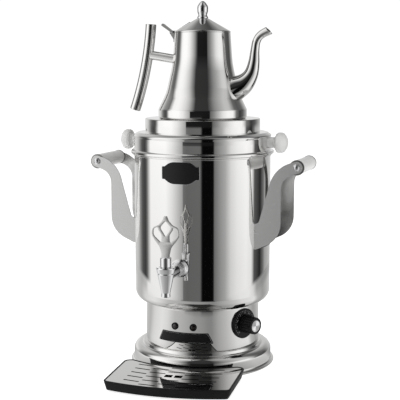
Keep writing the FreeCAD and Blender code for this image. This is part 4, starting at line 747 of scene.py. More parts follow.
# Shader groups and finishes

SPUN_RELIEF, GRAIN_RELIEF, MOULDED_RELIEF = 0.00002, 0.00003, 0.00005     # metres
UPRIGHT_GRAIN, TUBE_GRAIN, EVEN_GRAIN = (1.0, 1.0, 7.0), (1.0, 6.0, 0.6), (2.0, 2.0, 2.0)

def spin_marks_group():
    """Fine polishing lines round the upright axis, with soft haze between them."""
    group, wiring, given, result = new_group("Spin marks", "ShaderNodeTree", [
        ("Vector", VECTOR, (0, 0, 0)), ("Polish", FLOAT, 0.05), ("Haze", FLOAT, 0.03), ("Line pitch", FLOAT, 1400.0)],
        [("Roughness", FLOAT), ("Height", FLOAT)])
    x, y, z = wiring.split(given["Vector"])
    pitch = given["Line pitch"]
    lines = wiring.noise(wiring.vector(wiring.length(x, y) * pitch, y * 9.0, z * pitch), 1.0, 1.0)
    haze = wiring.ranged(wiring.noise(given["Vector"], 16.0, 3.0), 0.42, 0.72)
    wiring.put_all(result, Roughness=given["Polish"] + given["Haze"] * (haze * lines), Height=lines)
    return group


def grain_group():
    """Straight brushed grain along one direction: the vector is stretched before it comes in."""
    group, wiring, given, result = new_group("Brushed grain", "ShaderNodeTree", [
        ("Vector", VECTOR, (0, 0, 0)), ("Base", FLOAT, 0.3), ("Spread", FLOAT, 0.12)],
        [("Roughness", FLOAT), ("Height", FLOAT), ("Tone", FLOAT)])
    fine = wiring.noise(given["Vector"], 260.0, 3.0, 0.6)
    broad = wiring.noise(given["Vector"], 22.0)
    wiring.put_all(result, Roughness=given["Base"] + given["Spread"] * (fine - 0.5), Height=fine,
                   Tone=wiring.ranged(broad, 0.3, 0.7, 0.93, 1.05))
    return group


def moulded_group():
    """The faint texture of moulded plastic, with a soft variation in gloss."""
    group, wiring, given, result = new_group("Moulded skin", "ShaderNodeTree", [
        ("Vector", VECTOR, (0, 0, 0)), ("Gloss", FLOAT, 0.3), ("Variation", FLOAT, 0.1), ("Texture", FLOAT, 900.0)],
        [("Roughness", FLOAT), ("Height", FLOAT), ("Wear", FLOAT)])
    fine = wiring.noise(given["Vector"], given["Texture"])
    broad = wiring.noise(given["Vector"], 30.0, 3.0)
    wiring.put_all(result, Roughness=given["Gloss"] + given["Variation"] * (broad - 0.5), Height=fine,
                   Wear=wiring.ranged(broad, 0.55, 0.8))
    return group


GROUP_MAKERS = {"spin": spin_marks_group, "grain": grain_group, "moulded": moulded_group}
GROUPS = {}


class Finish:
    """A material whose colour, roughness and relief come from nodes on the object's own coordinates."""

    def __init__(self, name):
        self.material = bpy.data.materials.new(name)
        self.material.use_nodes = True
        nodes = self.material.node_tree.nodes
        self.wiring = Wiring(self.material.node_tree)
        self.shader = next(node for node in nodes if node.type == "BSDF_PRINCIPLED")
        self.where = self.wiring.out("ShaderNodeTexCoord", output="Object")

    def group(self, name, **values):
        """The outputs of one of the shared groups."""
        if name not in GROUPS:
            GROUPS[name] = GROUP_MAKERS[name]()
        node = self.wiring.add("ShaderNodeGroup", node_tree=GROUPS[name])
        self.wiring.put_all(node, **values)
        return {socket.name: Value(self.wiring, socket) for socket in node.outputs}

    def set(self, **values):
        self.wiring.put_all(self.shader, **values)

    def toned(self, tone, rgb, low, high):
        """Base colour that varies a little with a mask."""
        self.set(Base_Color=self.wiring.mixed(
            tone, (*[c * low for c in rgb], 1), (*[min(1.0, c * high) for c in rgb], 1)))

    def bumped(self, height, strength, distance):
        self.set(Normal=self.wiring.out("ShaderNodeBump", {
            "Strength": strength, "Distance": distance, "Height": height}))

    def surface(self, marks, strength, distance):
        """Roughness and relief from a group's outputs."""
        self.set(Roughness=marks["Roughness"])
        self.bumped(marks["Height"], strength, distance)
        return self.material


def metal(name, rgb, polish, haze, strength, pitch=1400.0):
    """Spun and polished metal."""
    finish = Finish(name)
    marks = finish.group("spin", Vector=finish.where, Polish=polish, Haze=haze, Line_pitch=pitch)
    finish.set(Metallic=1.0)
    finish.toned(finish.wiring.noise(finish.where, 9.0, 3.0), rgb, 0.97, 1.02)
    return finish.surface(marks, strength, SPUN_RELIEF)


def stretched_grain(finish, stretch, base, spread):
    """Brushed grain; stretch gives the pattern's scale along X, Y and Z."""
    mapping = finish.wiring.out("ShaderNodeMapping", {"Vector": finish.where, "Scale": stretch})
    finish.set(Metallic=1.0)
    return finish.group("grain", Vector=mapping, Base=base, Spread=spread)


def brushed(name, rgb, base, spread, stretch, strength=0.25):
    """Sheet metal with straight grain."""
    finish = Finish(name)
    grain = stretched_grain(finish, stretch, base, spread)
    finish.toned(grain["Tone"], rgb, 0.92, 1.04)
    return finish.surface(grain, strength, GRAIN_RELIEF)


def handle_steel(name):
    """Satin sheet with painted shade: its cut edges are painted darker, and its inner faces, between the two plates,
    are painted darker in cloudy patches.
    """
    finish = Finish(name)
    wiring, where = finish.wiring, finish.where
    grain = stretched_grain(finish, UPRIGHT_GRAIN, settings().finish.satin_roughness, 0.12)
    facing = wiring.split(wiring.out("ShaderNodeNewGeometry", output="Normal"))[1]
    side = facing * wiring.maths("SIGN", wiring.split(where)[1])
    flat = wiring.ranged(wiring.maths("ABSOLUTE", facing), 0.5, 0.9)
    # painted shade on the inner faces between the two plates, mottled by noise
    inside = wiring.ranged(side, -0.9, -0.5, 1.0, 0.0)
    clouds = wiring.ranged(wiring.noise(where, 22.0, 3.0), 0.35, 0.65, 0.75, 1.30)
    painted_inner_shade = 1.0 - inside * (1.0 - clouds)
    # painted shade: the cut edges, whose normals lie across the plates, are painted darker
    edges = 0.40 + flat * 0.60
    tone = edges * painted_inner_shade * wiring.ranged(grain["Tone"], 0.0, 1.0, 0.72, 0.79)
    finish.toned(tone, (1.0, 1.0, 0.99), 0.0, 1.0)
    return finish.surface(grain, 0.25, GRAIN_RELIEF)


def turned_disc(name):
    """A disc with a fine turned face, whose colour is painted lighter and darker in sectors round its middle, a
    painted highlight.
    """
    control = settings().control
    finish = Finish(name)
    wiring = finish.wiring
    x, y, z = wiring.split(finish.where)
    across = x * math.cos(control.dial_angle) + y * math.sin(control.dial_angle)
    up = z - control.dial_height
    painted_glint = wiring.maths("SINE", wiring.maths("ARCTAN2", up, across) * 2.0)
    rings = wiring.noise(wiring.vector(wiring.length(across, up) * 4000.0, 0.0, 0.0), 1.0, 1.0)
    finish.set(Metallic=1.0)
    # painted highlight: base colour lighter and darker by sectors round the middle, for the turned face's glints
    finish.toned(wiring.ranged(painted_glint, -0.6, 0.8), (0.9, 0.9, 0.9), 0.45, 1.05)
    marks = {"Roughness": wiring.ranged(rings, 0.3, 0.7, 0.22, 0.34), "Height": rings}
    return finish.surface(marks, 0.3, SPUN_RELIEF)


def plastic(name, rgb, gloss, variation, strength, texture, worn, ior=1.49, coat=0.0):
    """Moulded plastic, enamel or rubber."""
    finish = Finish(name)
    skin_marks = finish.group("moulded", Vector=finish.where, Gloss=gloss, Variation=variation, Texture=texture)
    finish.toned(skin_marks["Wear"], rgb, 1.0, worn)
    finish.set(IOR=ior, Coat_Weight=coat)
    return finish.surface(skin_marks, strength, MOULDED_RELIEF)


def finish_table():
    """For each finish, its maker and what the maker is told."""
    finish = settings().finish
    return {
        "mirror": (metal, "Mirror steel", finish.steel, finish.polish, 0.02, 0.02),
        "pot": (metal, "Mirror steel teapot", finish.steel, finish.polish, 0.008, 0.02, 1100.0),
        "inner": (metal, "Inner steel", finish.steel, 0.22, 0.1, 0.1, 900.0),
        "chrome": (metal, "Chrome", finish.chrome, 0.035, 0.03, 0.02, 700.0),
        "wing": (handle_steel, "Handle steel"),
        "edge": (brushed, "Key steel", finish.satin, 0.20, 0.05, (3.0, 1.0, 0.6), 0.1),
        "tube": (brushed, "Polished tube", finish.steel, 0.12, 0.05, TUBE_GRAIN, 0.08),
        # painted shade: a copy of the steel darkened to 0.42, so the strap, the hinge and the grips' washers read dark
        "hinge": (brushed, "Hinge steel", [c * 0.42 for c in finish.steel], 0.2, 0.08, TUBE_GRAIN, 0.08),
        "insert": (turned_disc, "Turned disc"),
        "zinc": (brushed, "Zinc plate", (0.6, 0.61, 0.63), 0.36, 0.16, EVEN_GRAIN),
        "brass": (brushed, "Brass", (0.72, 0.52, 0.25), 0.28, 0.12, EVEN_GRAIN),
        "copper": (brushed, "Copper", (0.78, 0.43, 0.30), 0.3, 0.12, EVEN_GRAIN),
        "white": (plastic, "White plastic", finish.white, 0.3, 0.08, 0.02, 700.0, 0.96),
        "black": (plastic, "Black plastic", finish.black, 0.38, 0.12, 0.12, 1100.0, 1.6, 1.27),
        "matte": (plastic, "Matt black plastic", finish.black, 0.5, 0.12, 0.2, 1500.0, 1.6),
        "enamel": (plastic, "Dark enamel", (0.008, 0.008, 0.009), 0.34, 0.08, 0.04, 500.0, 1.1, 1.3),
        "print": (plastic, "Printed strokes", finish.print_grey, 0.5, 0.1, 0.05, 1500.0, 0.9),
        "lens": (plastic, "Lamp lens", (0.007, 0.003, 0.003), 0.12, 0.05, 0.05, 300.0, 1.3, 1.49, 0.5),
        "rubber": (plastic, "Rubber", (0.02, 0.02, 0.02), 0.7, 0.15, 0.3, 1200.0, 1.8),
        "silicone": (plastic, "Silicone", (0.62, 0.60, 0.56), 0.5, 0.12, 0.1, 800.0, 0.92),
        "ceramic": (plastic, "Terminal moulding", (0.72, 0.70, 0.64), 0.4, 0.1, 0.1, 700.0, 0.95),
    }


MATERIALS = {}


def material_named(name):
    """One of the urn's finishes, each made once."""
    if name not in MATERIALS:
        maker, *words = finish_table()[name]
        MATERIALS[name] = maker(*words)
    return MATERIALS[name]


# Sections in millimetres

def foot_section():
    """The foot from one sheet, with the solid rolled lip that its wall flares out into."""
    body = settings().body
    top, wall, flange = body.foot_top / MM, body.foot_radius / MM, (body.foot_radius + body.foot_flare) / MM
    low = top - 35.0
    edge = body.housing_radius / MM + 4.5
    start = (flange - 17.0, low, 0)
    lip = [(flange - 4.4, low, 0.4), (flange - 2.8, low - 1.6, 0.4), (flange, low - 1.6, 0.8),
           (flange, low + 0.8, 0.8), (wall, low + 0.8, 4.8)]
    above = [(wall, top - 6.1, 11.0), (edge + 1.4, top - 5.6, 1.5), (edge, top, 0.8),
             (body.housing_radius / MM - 14.0, top, 0)]
    inner = inset([start, (wall, low, 0.4)] + above, body.foot_sheet / MM)
    return rounded([start] + lip + above) + rounded(inner)[::-1]


def housing_section():
    """The housing's wall, turned in at the top and the bottom."""
    body = settings().body
    radius, low, high = body.housing_radius / MM, body.foot_top / MM, body.housing_top / MM
    return [(radius - 14.0, low, 0), (radius, low, 1.2), (radius, high, 1.2), (radius - 14.0, high, 0)]


def tank_section():
    """The tank's floor and wall with the rim rolled outwards, as one closed outline."""
    body = settings().body
    radius, low, high = body.tank_radius / MM, body.housing_top / MM, body.tank_top / MM
    wall, rim = body.sheet / MM, body.rim_width / MM
    under_rim = high - body.rim_height / MM
    outside = rounded([(0, low, 0), (radius, low, body.tank_corner / MM), (radius, under_rim, 0),
                       (radius + rim, under_rim, 1.2), (radius + rim, high, 1.2), (radius - wall, high, 0.3),
                       (radius - wall, high - 6, 0)])
    inside = rounded([(0, low + wall, 0), (radius - wall, low + wall, body.tank_corner / MM - wall),
                      (radius - wall, high - 7, 0)])
    return outside + inside[::-1]


def lid_section():
    """The lid's outer side: plug, rolled edge, wall and flat top."""
    body = settings().body
    radius, low = body.tank_radius / MM, body.tank_top / MM
    top = settings().lid.lid_top / MM
    wall, shoulder = radius + 0.3, radius + 1.6
    return [
        (radius - 1.4, low - 9.0, 0), (radius - 1.4, low, 0.28), (radius + 5.5, low, 1.5),
        (radius + 5.5, low + 5.6, 1.6), (wall, low + 5.6, 1.4), (wall + 0.12, low + 16.5, 300),
        (wall, low + 27.0, 3.0), (shoulder, low + 31.4, 3.0), (shoulder - 7.0, top, 5.0),
        (settings().lid.seat_radius / MM - 9.7, top, 0)]


def seat_section():
    """The raised seat's outer side, down into its opening."""
    lid = settings().lid
    opening = lid.pot_base_radius / MM - 11.0
    radius, low, high = lid.seat_radius / MM, lid.lid_top / MM, lid.seat_top / MM
    middle = (low + high) / 2
    return [(radius - 0.1, low, 0), (radius, middle, 400), (radius - 0.1, high, 1.4), (opening, high, 1.2),
            (opening, high - 9.0, 0)]


def pot_section():
    """The teapot's outer side: foot band and a wall that narrows to the mouth."""
    lid = settings().lid
    low, base = lid.seat_top / MM, lid.pot_base_radius / MM
    return [
        (base - 11.1, low, 0), (base, low, 3.0), (base, low + 15.0, 5.0), (base - 13.5, low + 43.0, 70),
        (base - 24.5, low + 92.0, 150), (lid.pot_mouth_radius / MM, lid.pot_mouth / MM, 0)]


def pot_radius_at(height):
    """Outer radius of the teapot at a height, both in metres."""
    points = rounded(pot_section(), supports=False)[3:]
    z = height / MM
    for start, end in zip(points, points[1:]):
        if start.y <= z <= end.y and end.y > start.y:
            return (start.x + (end.x - start.x) * (z - start.y) / (end.y - start.y)) * MM
    return points[-1].x * MM if z > points[-1].y else points[0].x * MM


def outside_pot(spot):
    """How far a place lies outside the teapot's wall."""
    return math.hypot(spot.x, spot.y) - pot_radius_at(spot.z)


def base_pan_section():
    """The pan that closes the teapot below, with the spigot that sits in the seat."""
    lid = settings().lid
    low, spigot = lid.seat_top / MM - 6.0, lid.pot_base_radius / MM - 11.4
    flange = lid.seat_top / MM + 1.0
    return [(0, low, 0), (spigot, low, 2.5), (spigot, flange, 0.3), (spigot + 7.8, flange, 0)]


def pot_lid_section():
    """The teapot's lid: plug, rim and cone."""
    lid = settings().lid
    low, mouth = lid.pot_mouth / MM + 0.3, lid.pot_mouth_radius / MM
    return [
        (mouth - 2.1, low - 5.6, 0), (mouth - 2.1, low, 0.3), (mouth + 0.4, low, 0.5), (mouth + 0.4, low + 2.3, 2.4),
        (10.0, low + 23.4, 3.0), (0, low + 23.4, 0)]


# Foot, housing and tank

STUD_CIRCLE = 88.0
PRINT = (0.1 * MM, 0.02 * MM)       # thickness and edge of a printed stroke, in metres
HAIR = 0.00002                      # gap between a fitting and the curved wall behind it, in metres
THIN_SHEET = 1.0


class TEAURN_OT_foot(bpy.types.Operator):
    """The flared foot, spun from one sheet"""
    bl_idname = "teaurn.foot"
    bl_label = "Foot"

    def execute(self, context):
        place("foot", spun("foot", foot_section(), "mirror"), "urn", "steel_mirror", ["foot_shell"])
        return {"FINISHED"}


def screw_mesh(radius, length_mm, head_radius, head_height):
    """A pan-head screw along +Z, its head below the origin, with a cross on the head."""
    screw = turned("screw", [
        (0, length_mm, 0), (radius - 0.3, length_mm, 0), (radius, length_mm - 0.6, 0), (radius, 0, 0),
        (head_radius, 0, 0.15), (head_radius * 0.96, -head_height * 0.55, 0.4),
        (head_radius * 0.6, -head_height, 0.6), (0, -head_height, 0)][::-1], "zinc", 24)
    half, arm = head_radius * 0.1, head_radius * 0.45
    outline = [(arm, -half), (arm, half), (half, half), (half, arm), (-half, arm), (-half, half),
               (-arm, half), (-arm, -half), (-half, -half), (-half, -arm), (half, -arm), (half, -half)]
    cross = moved(flat_mesh("recess", [outline], *PRINT), shifted(0, 0, -(head_height + 0.02)))
    return joined("screw", [screw, cross])


class TEAURN_OT_screws(bpy.types.Operator):
    """The like screws under the base plate and inside the foot"""
    bl_idname = "teaurn.screws"
    bl_label = "Screws"

    def execute(self, context):
        rings = []
        for from_axis, level, start in ((112.0, 1.8, 45.0), (88.0, 36.8, 20.0)):
            screw = moved(screw_mesh(1.75, 8.0, 3.2, 1.3), shifted(from_axis, 0, level))
            rings.append(copies("screws", screw, "zinc", 4, math.radians(start), QUARTER))
        place("case_screws_dressed", joined("case_screws_dressed", rings), "urn", "zinc", ["case_screws"])
        return {"FINISHED"}


class TEAURN_OT_housing(bpy.types.Operator):
    """The round control housing"""
    bl_idname = "teaurn.housing"
    bl_label = "Control housing"

    def execute(self, context):
        mesh = spun("housing", sheet_section(housing_section(), settings().body.sheet / MM), "mirror")
        place("housing", mesh, "urn", "steel_mirror", ["control_housing"])
        return {"FINISHED"}


class TEAURN_OT_tank(bpy.types.Operator):
    """The water tank with its rolled rim and the studs welded under it"""
    bl_idname = "teaurn.tank"
    bl_label = "Tank"

    def execute(self, context):
        low = settings().body.housing_top / MM
        stud = turned("stud", [(0, low - 13, 0), (2.5, low - 13, 0.4), (2.5, low + 0.2, 0), (0, low + 0.2, 0)],
                      "mirror", 24)
        studs = copies("studs", moved(stud, shifted(STUD_CIRCLE, 0, 0)), "mirror", 3, math.radians(30),
                       math.radians(120))
        tank = joined("tank", [spun("tank", tank_section(), "mirror"), studs])
        place("tank", tank, "urn", "steel_mirror", ["tank_shell"])
        return {"FINISHED"}


def on_drum(turn, radius, level):
    """A place on an upright drum, turned from the front."""
    return Vector((radius * math.sin(turn), -radius * math.cos(turn), level))


def curved_plate(name, half_width, outline, radius, thickness, finish):
    """A thin plate laid on a drum of a radius; the outline's points are (arc length, height) in millimetres."""
    mesh = flat_mesh(name, [outline], thickness * MM, thickness * 0.3 * MM)
    work = bmesh.new()
    work.from_mesh(mesh)
    cuts = 24
    for cut in range(cuts):
        x = (-1 + 2 * (cut + 0.5) / cuts) * half_width * MM
        bmesh.ops.bisect_plane(work, geom=work.verts[:] + work.edges[:] + work.faces[:],
                               plane_co=(x, 0, 0), plane_no=(1, 0, 0))
    for vert in work.verts:
        arc, up, out = vert.co
        vert.co = on_drum(arc / (radius * MM), radius * MM + out + thickness * MM / 2, up)
    work.to_mesh(mesh)
    work.free()
    return smooth(painted(mesh, finish))


def both_sides(places):
    """Corners of the right half with their mirror images."""
    return places + [(-u, v, r) for u, v, r in reversed(places)]


class TEAURN_OT_badge(bpy.types.Operator):
    """A bare enamelled plate on the tank's front, an oval with a tab at each end"""
    bl_idname = "teaurn.badge"
    bl_label = "Front plate"

    def execute(self, context):
        radius = settings().body.tank_radius / MM
        centre = settings().body.tank_top / MM - 24.0
        top = both_sides([(32.6, 11.2, 2.5), (27.0, 11.2, 2.0), (17.0, 18.6, 24.0)])
        outline = [(u, centre + v, r) for u, v, r in top + [(-u, -v, r) for u, v, r in top]]
        plates = []
        for corners, drum, thickness, finish in ((outline, radius, 0.8, "chrome"),
                                                 (inset(outline, 0.9, closed=True), radius + 0.8, 0.4, "enamel")):
            points = rounded(corners, closed=True, supports=False)
            plates.append(curved_plate("front_plate", 35.0, points, drum, thickness, finish))
        place("front_plate", joined("front_plate", plates), "urn", "black_plastic")
        return {"FINISHED"}


# Controls

class TEAURN_OT_label(bpy.types.Operator):
    """The bare black plate under the lamps"""
    bl_idname = "teaurn.label"
    bl_label = "Control plate"

    def execute(self, context):
        radius = settings().body.housing_radius / MM
        low = settings().body.foot_top / MM + 14.2
        half = 48.2
        scale = math.asin(half / radius) * radius / half
        corners = [(u * scale, v, 1.5) for u, v in (
            (-half, low), (half, low), (39.3, low + 17.8), (-39.3, low + 17.8))]
        plate = curved_plate("control_plate", 50.0, rounded(corners, closed=True, supports=False), radius + 0.05,
                             0.55, "enamel")
        edges = [rounded(inset(corners, distance, closed=True), True, 4, False) for distance in (1.3, 1.65)]
        line = flat_line("control_line", edges, radius + 0.62)
        place("control_plate", joined("control_plate", [plate, line]), "urn", "black_plastic", ["label_plate"])
        return {"FINISHED"}


def flat_line(name, edges, radius):
    """A printed line between two outlines, laid on a drum."""
    rows = []
    for points in edges:
        dense = []
        for start, end in zip(points, points[1:] + points[:1]):
            steps = max(1, math.ceil((end - start).length / 4.0))
            dense += [start.lerp(end, k / steps) for k in range(steps)]
        rows.append(dense)
    count = min(map(len, rows))
    rings = []
    for row in rows:
        spots = [row[k * len(row) // count] for k in range(count)]
        rings.append([on_drum(p.x / radius, radius * MM, p.y * MM) for p in spots])
    mesh = mesh_from(name, lambda work: skin(work, rings))
    if sum(1 if face.normal.y < 0 else -1 for face in mesh.polygons) < 0:
        mesh.flip_normals()
    return painted(mesh, "print")


class TEAURN_OT_lamps(bpy.types.Operator):
    """The two panel lamps: a stepped bezel and a domed lens"""
    bl_idname = "teaurn.lamps"
    bl_label = "Lamps"

    def execute(self, context):
        control = settings().control
        wall = settings().body.housing_radius / MM
        bezels, lenses = [], []
        for side in (-1, 1):
            way = turned_out(side * control.lamp_angle, control.lamp_height)
            bezel = turned("bezel", [
                (4.1, wall - 1.5, 0), (4.1, wall + 1.9, 0.3), (4.9, wall + 2.2, 0.3), (6.1, wall + 1.5, 0.5),
                (6.1, wall - 0.3, 0.1), (4.9, wall - 0.3, 0), (4.9, wall - 19.0, 0.6), (4.2, wall - 19.4, 0),
                (4.2, wall - 1.5, 0)][::-1], "black", 64, closed=True)
            lens = turned("lens", [
                (0, wall - 2, 0), (4.0, wall - 2, 0), (4.0, wall + 1.7, 0.6), (0, wall + 2.9, 9)], "lens", 64)
            bezels.append(moved(bezel, way))
            lenses.append(moved(lens, way))
        place("lamp_bezels_dressed", joined("lamp_bezels_dressed", bezels), "urn", "black_plastic", ["lamp_bezels"])
        place("lamp_lenses_dressed", joined("lamp_lenses_dressed", lenses), "urn", "lamp_red", ["lamp_lenses"])
        return {"FINISHED"}


def drum_face(radius, across):
    """How far from the axis, in metres, a drum's face lies at a place across it, with a hair's gap."""
    return math.sqrt((radius * MM) ** 2 - across ** 2) + HAIR


class TEAURN_OT_thermostat(bpy.types.Operator):
    """The thermostat's dial with printed strokes and figures, the ribbed knob and its turned disc"""
    bl_idname = "teaurn.thermostat"
    bl_label = "Thermostat"

    def execute(self, context):
        control = settings().control
        wall = settings().body.housing_radius / MM
        way = turned_out(control.dial_angle, control.dial_height)
        front = wall + 2.4
        parts = [self.dial(wall, front), self.strokes(front), *self.figures(front)]
        place("dial_dressed", moved(joined("dial_dressed", parts), way), "urn", "black_plastic", ["dial_plate"])
        back = front + 0.6
        tip = back + 24.5
        section = rounded([
            (3.1, back, 0), (13.4, back, 0.5), (15.0, back + 1.4, 0.6), (15.0, back + 2.6, 0.3),
            (14.2, tip - 0.9, 0.4), (13.5, tip, 0.5), (10.0, tip, 0.2), (10.0, tip - 1.6, 0), (3.1, tip - 1.6, 0)],
            True)
        ribbed = [1.0 if p[0] > 13.6 and back + 2.5 < p[1] < tip - 0.4 else 0.0 for p in section]
        knob = spun("knob", section, "black", segments=288, ribbed=ribbed, ribs=control.flute_count,
                    rib_depth=control.flute_depth, limit=50.0)
        knob = joined("knob_dressed", [knob, self.stroke(10.6, 13.2, 0.45, tip)])
        place("knob_dressed", moved(knob, way), "control_knob", "black_plastic", ["thermostat_knob"])
        disc = turned("disc", [
            (0, tip - 1.6, 0), (9.92, tip - 1.6, 0), (9.92, tip + 0.2, 0.35), (8.9, tip + 0.5, 0.5),
            (8.3, tip + 0.28, 0.4), (0, tip + 0.28, 0)], "insert", 96, supports=True)
        place("disc_dressed", moved(disc, way), "control_knob", "silver_insert", ["knob_insert"])
        return {"FINISHED"}

    def dial(self, wall, front):
        """The black plate; its back follows the housing's curve."""
        mesh = turned("dial", [
            (4.4, wall - 6.0, 0), (25.4, wall - 6.0, 0), (25.4, front - 0.5, 0.7), (23.8, front, 0.6),
            (4.4, front, 0)], "black", 128, closed=True, supports=True)
        for vert in mesh.vertices:
            if vert.co.z < (wall - 1.0) * MM:
                vert.co.z = drum_face(wall, vert.co.x)
        mesh.update()
        return smooth(mesh)

    def stroke(self, start, end, half, level):
        """A printed stroke that points away from the middle."""
        mesh = flat_mesh("stroke", [[(start, -half), (end, -half), (end, half), (start, half)]], *PRINT)
        return painted(moved(mesh, shifted(0, 0, level)), "print")

    def strokes(self, front):
        count = settings().control.tick_count
        return copies("strokes", self.stroke(20.6, 22.6, 0.22, front), "print", count, math.radians(-45),
                      math.radians(270) / (count - 1))

    def figures(self, front):
        """Plain degrees round the dial."""
        words = []
        for step, figure in enumerate(range(110, 20, -10)):
            text = bpy.data.curves.new("figure", "FONT")
            text.body = str(figure)
            text.size = 3.4 * MM
            text.align_x = text.align_y = "CENTER"
            text.extrude = 0.04 * MM
            text.resolution_u = 3
            turn = math.radians(-45 + 270 * step / 8)
            way = (shifted(18.4 * math.cos(turn), 18.4 * math.sin(turn), front)
                   @ Matrix.Rotation(turn - QUARTER, 4, "Z"))
            words.append(painted(moved(mesh_of_curve(text), way), "print"))
        return words


PLAIN_NODES = {
    "zinc": ["base_plate", "tank_stud_nuts", "bracket_screws", "thermostat_bracket", "bulb_clip", "lid_knob_screws",
             "grip_rods", "hinge_pin", "thermostat_shaft"],
    "rubber": ["rubber_feet", "tray_pads"],
    "matte": ["cord_gland", "thermostat_body"],
    "black": ["gland_nut"],
    "brass": ["element_nuts", "tap_lock_nut", "tap_plug"],
    "copper": ["capillary_and_bulb"],
    "inner": ["heating_element", "thermal_cutout"],
    "silicone": ["element_gaskets", "tap_gaskets"],
    "ceramic": ["terminal_block"],
    "chrome": ["tap_key_pin"],
}


class TEAURN_OT_gland(bpy.types.Operator):
    """Better materials for the nodes that stay: the cord gland, feet, pads and the small works inside the foot"""
    bl_idname = "teaurn.gland"
    bl_label = "Gland and inner works"

    def execute(self, context):
        for finish, nodes in PLAIN_NODES.items():
            for node in nodes:
                painted(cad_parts[node].data, finish)
        return {"FINISHED"}


# Handles

SIDES = ((1, "right"), (-1, "left"))
GRIP_OUT, GRIP_LEVEL = 175.3, 344.7


class TEAURN_OT_handles(bpy.types.Operator):
    """The two bent sheets that carry the grips"""
    bl_idname = "teaurn.handles"
    bl_label = "Handle brackets"

    def execute(self, context):
        for _, name in SIDES:
            node = "handle_bracket_" + name
            place("bracket_" + name, edged_copy(node, 0.35 * MM), "urn", "steel_satin", [node], "wing")
        return {"FINISHED"}


class TEAURN_OT_grips(bpy.types.Operator):
    """The white grips, the washers at their ends and the dome nuts on their rods"""
    bl_idname = "teaurn.grips"
    bl_label = "Grips"

    def execute(self, context):
        nuts = []
        for side, name in SIDES:
            way = shifted(side * GRIP_OUT, 0, GRIP_LEVEL) @ Matrix.Rotation(-QUARTER, 4, "X")
            grip = turned("grip", [
                (3.1, -46, 0), (9.6, -46, 0.5), (10.2, -45.4, 0.4), (12.0, -44.6, 1.4), (12.0, 44.6, 1.4),
                (10.2, 45.4, 0.4), (9.6, 46, 0.5), (3.1, 46, 0)], "white", 96, closed=True, supports=True)
            place("grip_" + name + "_dressed", moved(grip, way), "urn", "white_plastic", ["grip_" + name])
            for end in (-1, 1):
                face = 48.0
                nut = turned("nut", [
                    (0, face, 0), (6.0, face, 0.2), (6.0, face + 0.9, 0.4), (5.4, face + 1.2, 0.2),
                    (5.0, face + 3.2, 2.5), (2.4, face + 4.9, 2.5), (0, face + 5.0, 0)], "chrome", 64)
                nuts.append(moved(nut, way @ Matrix.Diagonal((1, 1, end, 1))))
                ring = turned("ring", [
                    (9.4, 46.1 * end, 0), (12.6, 46.1 * end, 0.2), (12.6, 44.9 * end, 0.3), (9.4, 44.9 * end, 0)],
                    "hinge", 64, closed=True)
                nuts.append(moved(ring, way))
        place("dome_nuts", joined("dome_nuts", nuts), "urn", "chrome", ["grip_dome_nuts"])
        return {"FINISHED"}


# Tap

BONNET_TOP = 14.6       # above the port
COLLAR_TOP = 15.7       # above the bonnet
COVER_RADIUS = 15.2


class TEAURN_OT_tap(bpy.types.Operator):
    """The chromed tap: body, bonnet, collar, cover ring and clamping nut"""
    bl_idname = "teaurn.tap"
    bl_label = "Tap"

    def execute(self, context):
        port = settings().tap.port_height / MM
        wall = settings().body.tank_radius / MM
        bottom, top = port - 33.2, port + BONNET_TOP
        axis = wall + settings().tap.reach / MM
        upright, outward = shifted(0, -axis, 0), turned_out(0.0, settings().tap.port_height)
        gasket = wall + 1.5
        shield, nut = gasket + 7.5, gasket + 12.5
        flange = nut + 3.6
        inner = wall - 13.5
        skirt = math.sqrt(wall ** 2 - COVER_RADIUS ** 2) - 3

        def part(name, way, corners, segments=96):
            return moved(turned(name, corners, "chrome", segments, closed=True, supports=True), way)
        cone = part("cone", upright, [
            (4.6, bottom, 0), (7.4, bottom, 0.8), (7.1, bottom + 7.2, 4), (13.2, port + 3.9, 0.5),
            (12.6, port + 4.8, 0.3), (13.6, port + 5.7, 0.5), (15.2, top - 1.6, 0.8), (14.9, top, 0.6),
            (10.9, top, 0), (10.9, top - 6.6, 0), (9.06, top - 6.6, 0), (6.06, bottom + 11.2, 0),
            (4.6, bottom + 11.2, 0)], 128)
        neck = part("neck", outward, [
            (4.6, inner, 0), (8.0, inner, 0.5), (8.0, nut, 0), (10.4, nut, 0.8), (10.4, flange, 0.9),
            (8.6, flange, 1.2), (8.6, axis - 9.0, 0), (4.6, axis - 9.0, 0)])
        bonnet = part("bonnet", upright, [
            (4.06, top - 6.5, 0), (10.8, top - 6.5, 0), (10.8, top - 0.3, 0.3), (10.2, top, 0.3), (4.06, top, 0.2)])
        cover = part("cover", outward, [
            (8.1, gasket, 0), (12.8, gasket, 0), (12.8, skirt, 0), (COVER_RADIUS, skirt, 0.2),
            (COVER_RADIUS, gasket + 1.2, 1.0), (12.8, shield - 1.0, 3.0), (11.6, shield, 0.4), (8.1, shield, 0)])
        clamp = part("clamp", outward, [(8.1, shield, 0), (11.6, shield, 0.8), (11.6, nut, 0.8), (8.1, nut, 0)])
        collar = part("collar", upright, [
            (4.08, top + 0.12, 0), (8.5, top + 0.12, 0.4), (8.8, top + 0.9, 0.4), (8.8, top + 14.6, 0.9),
            (7.8, top + COLLAR_TOP, 0.5), (0, top + COLLAR_TOP, 0), (0, top + 8.3, 0), (4.08, top + 8.3, 0)])
        for vert in cover.vertices:
            if math.hypot(vert.co.x, vert.co.y) < wall * MM:
                vert.co.y = -drum_face(wall, vert.co.x)
        cover.update()
        place("tap_body_dressed", joined("tap_body_dressed", [cone, neck]), "urn", "chrome", ["tap_body"])
        place("bonnet_dressed", bonnet, "urn", "chrome", ["tap_bonnet"])
        place("cover_dressed", smooth(cover), "urn", "chrome", ["tap_escutcheon"])
        place("clamp_dressed", clamp, "urn", "chrome", ["tap_nut"])
        place("collar_dressed", collar, "tap_valve", "chrome", ["tap_collar"])
        return {"FINISHED"}


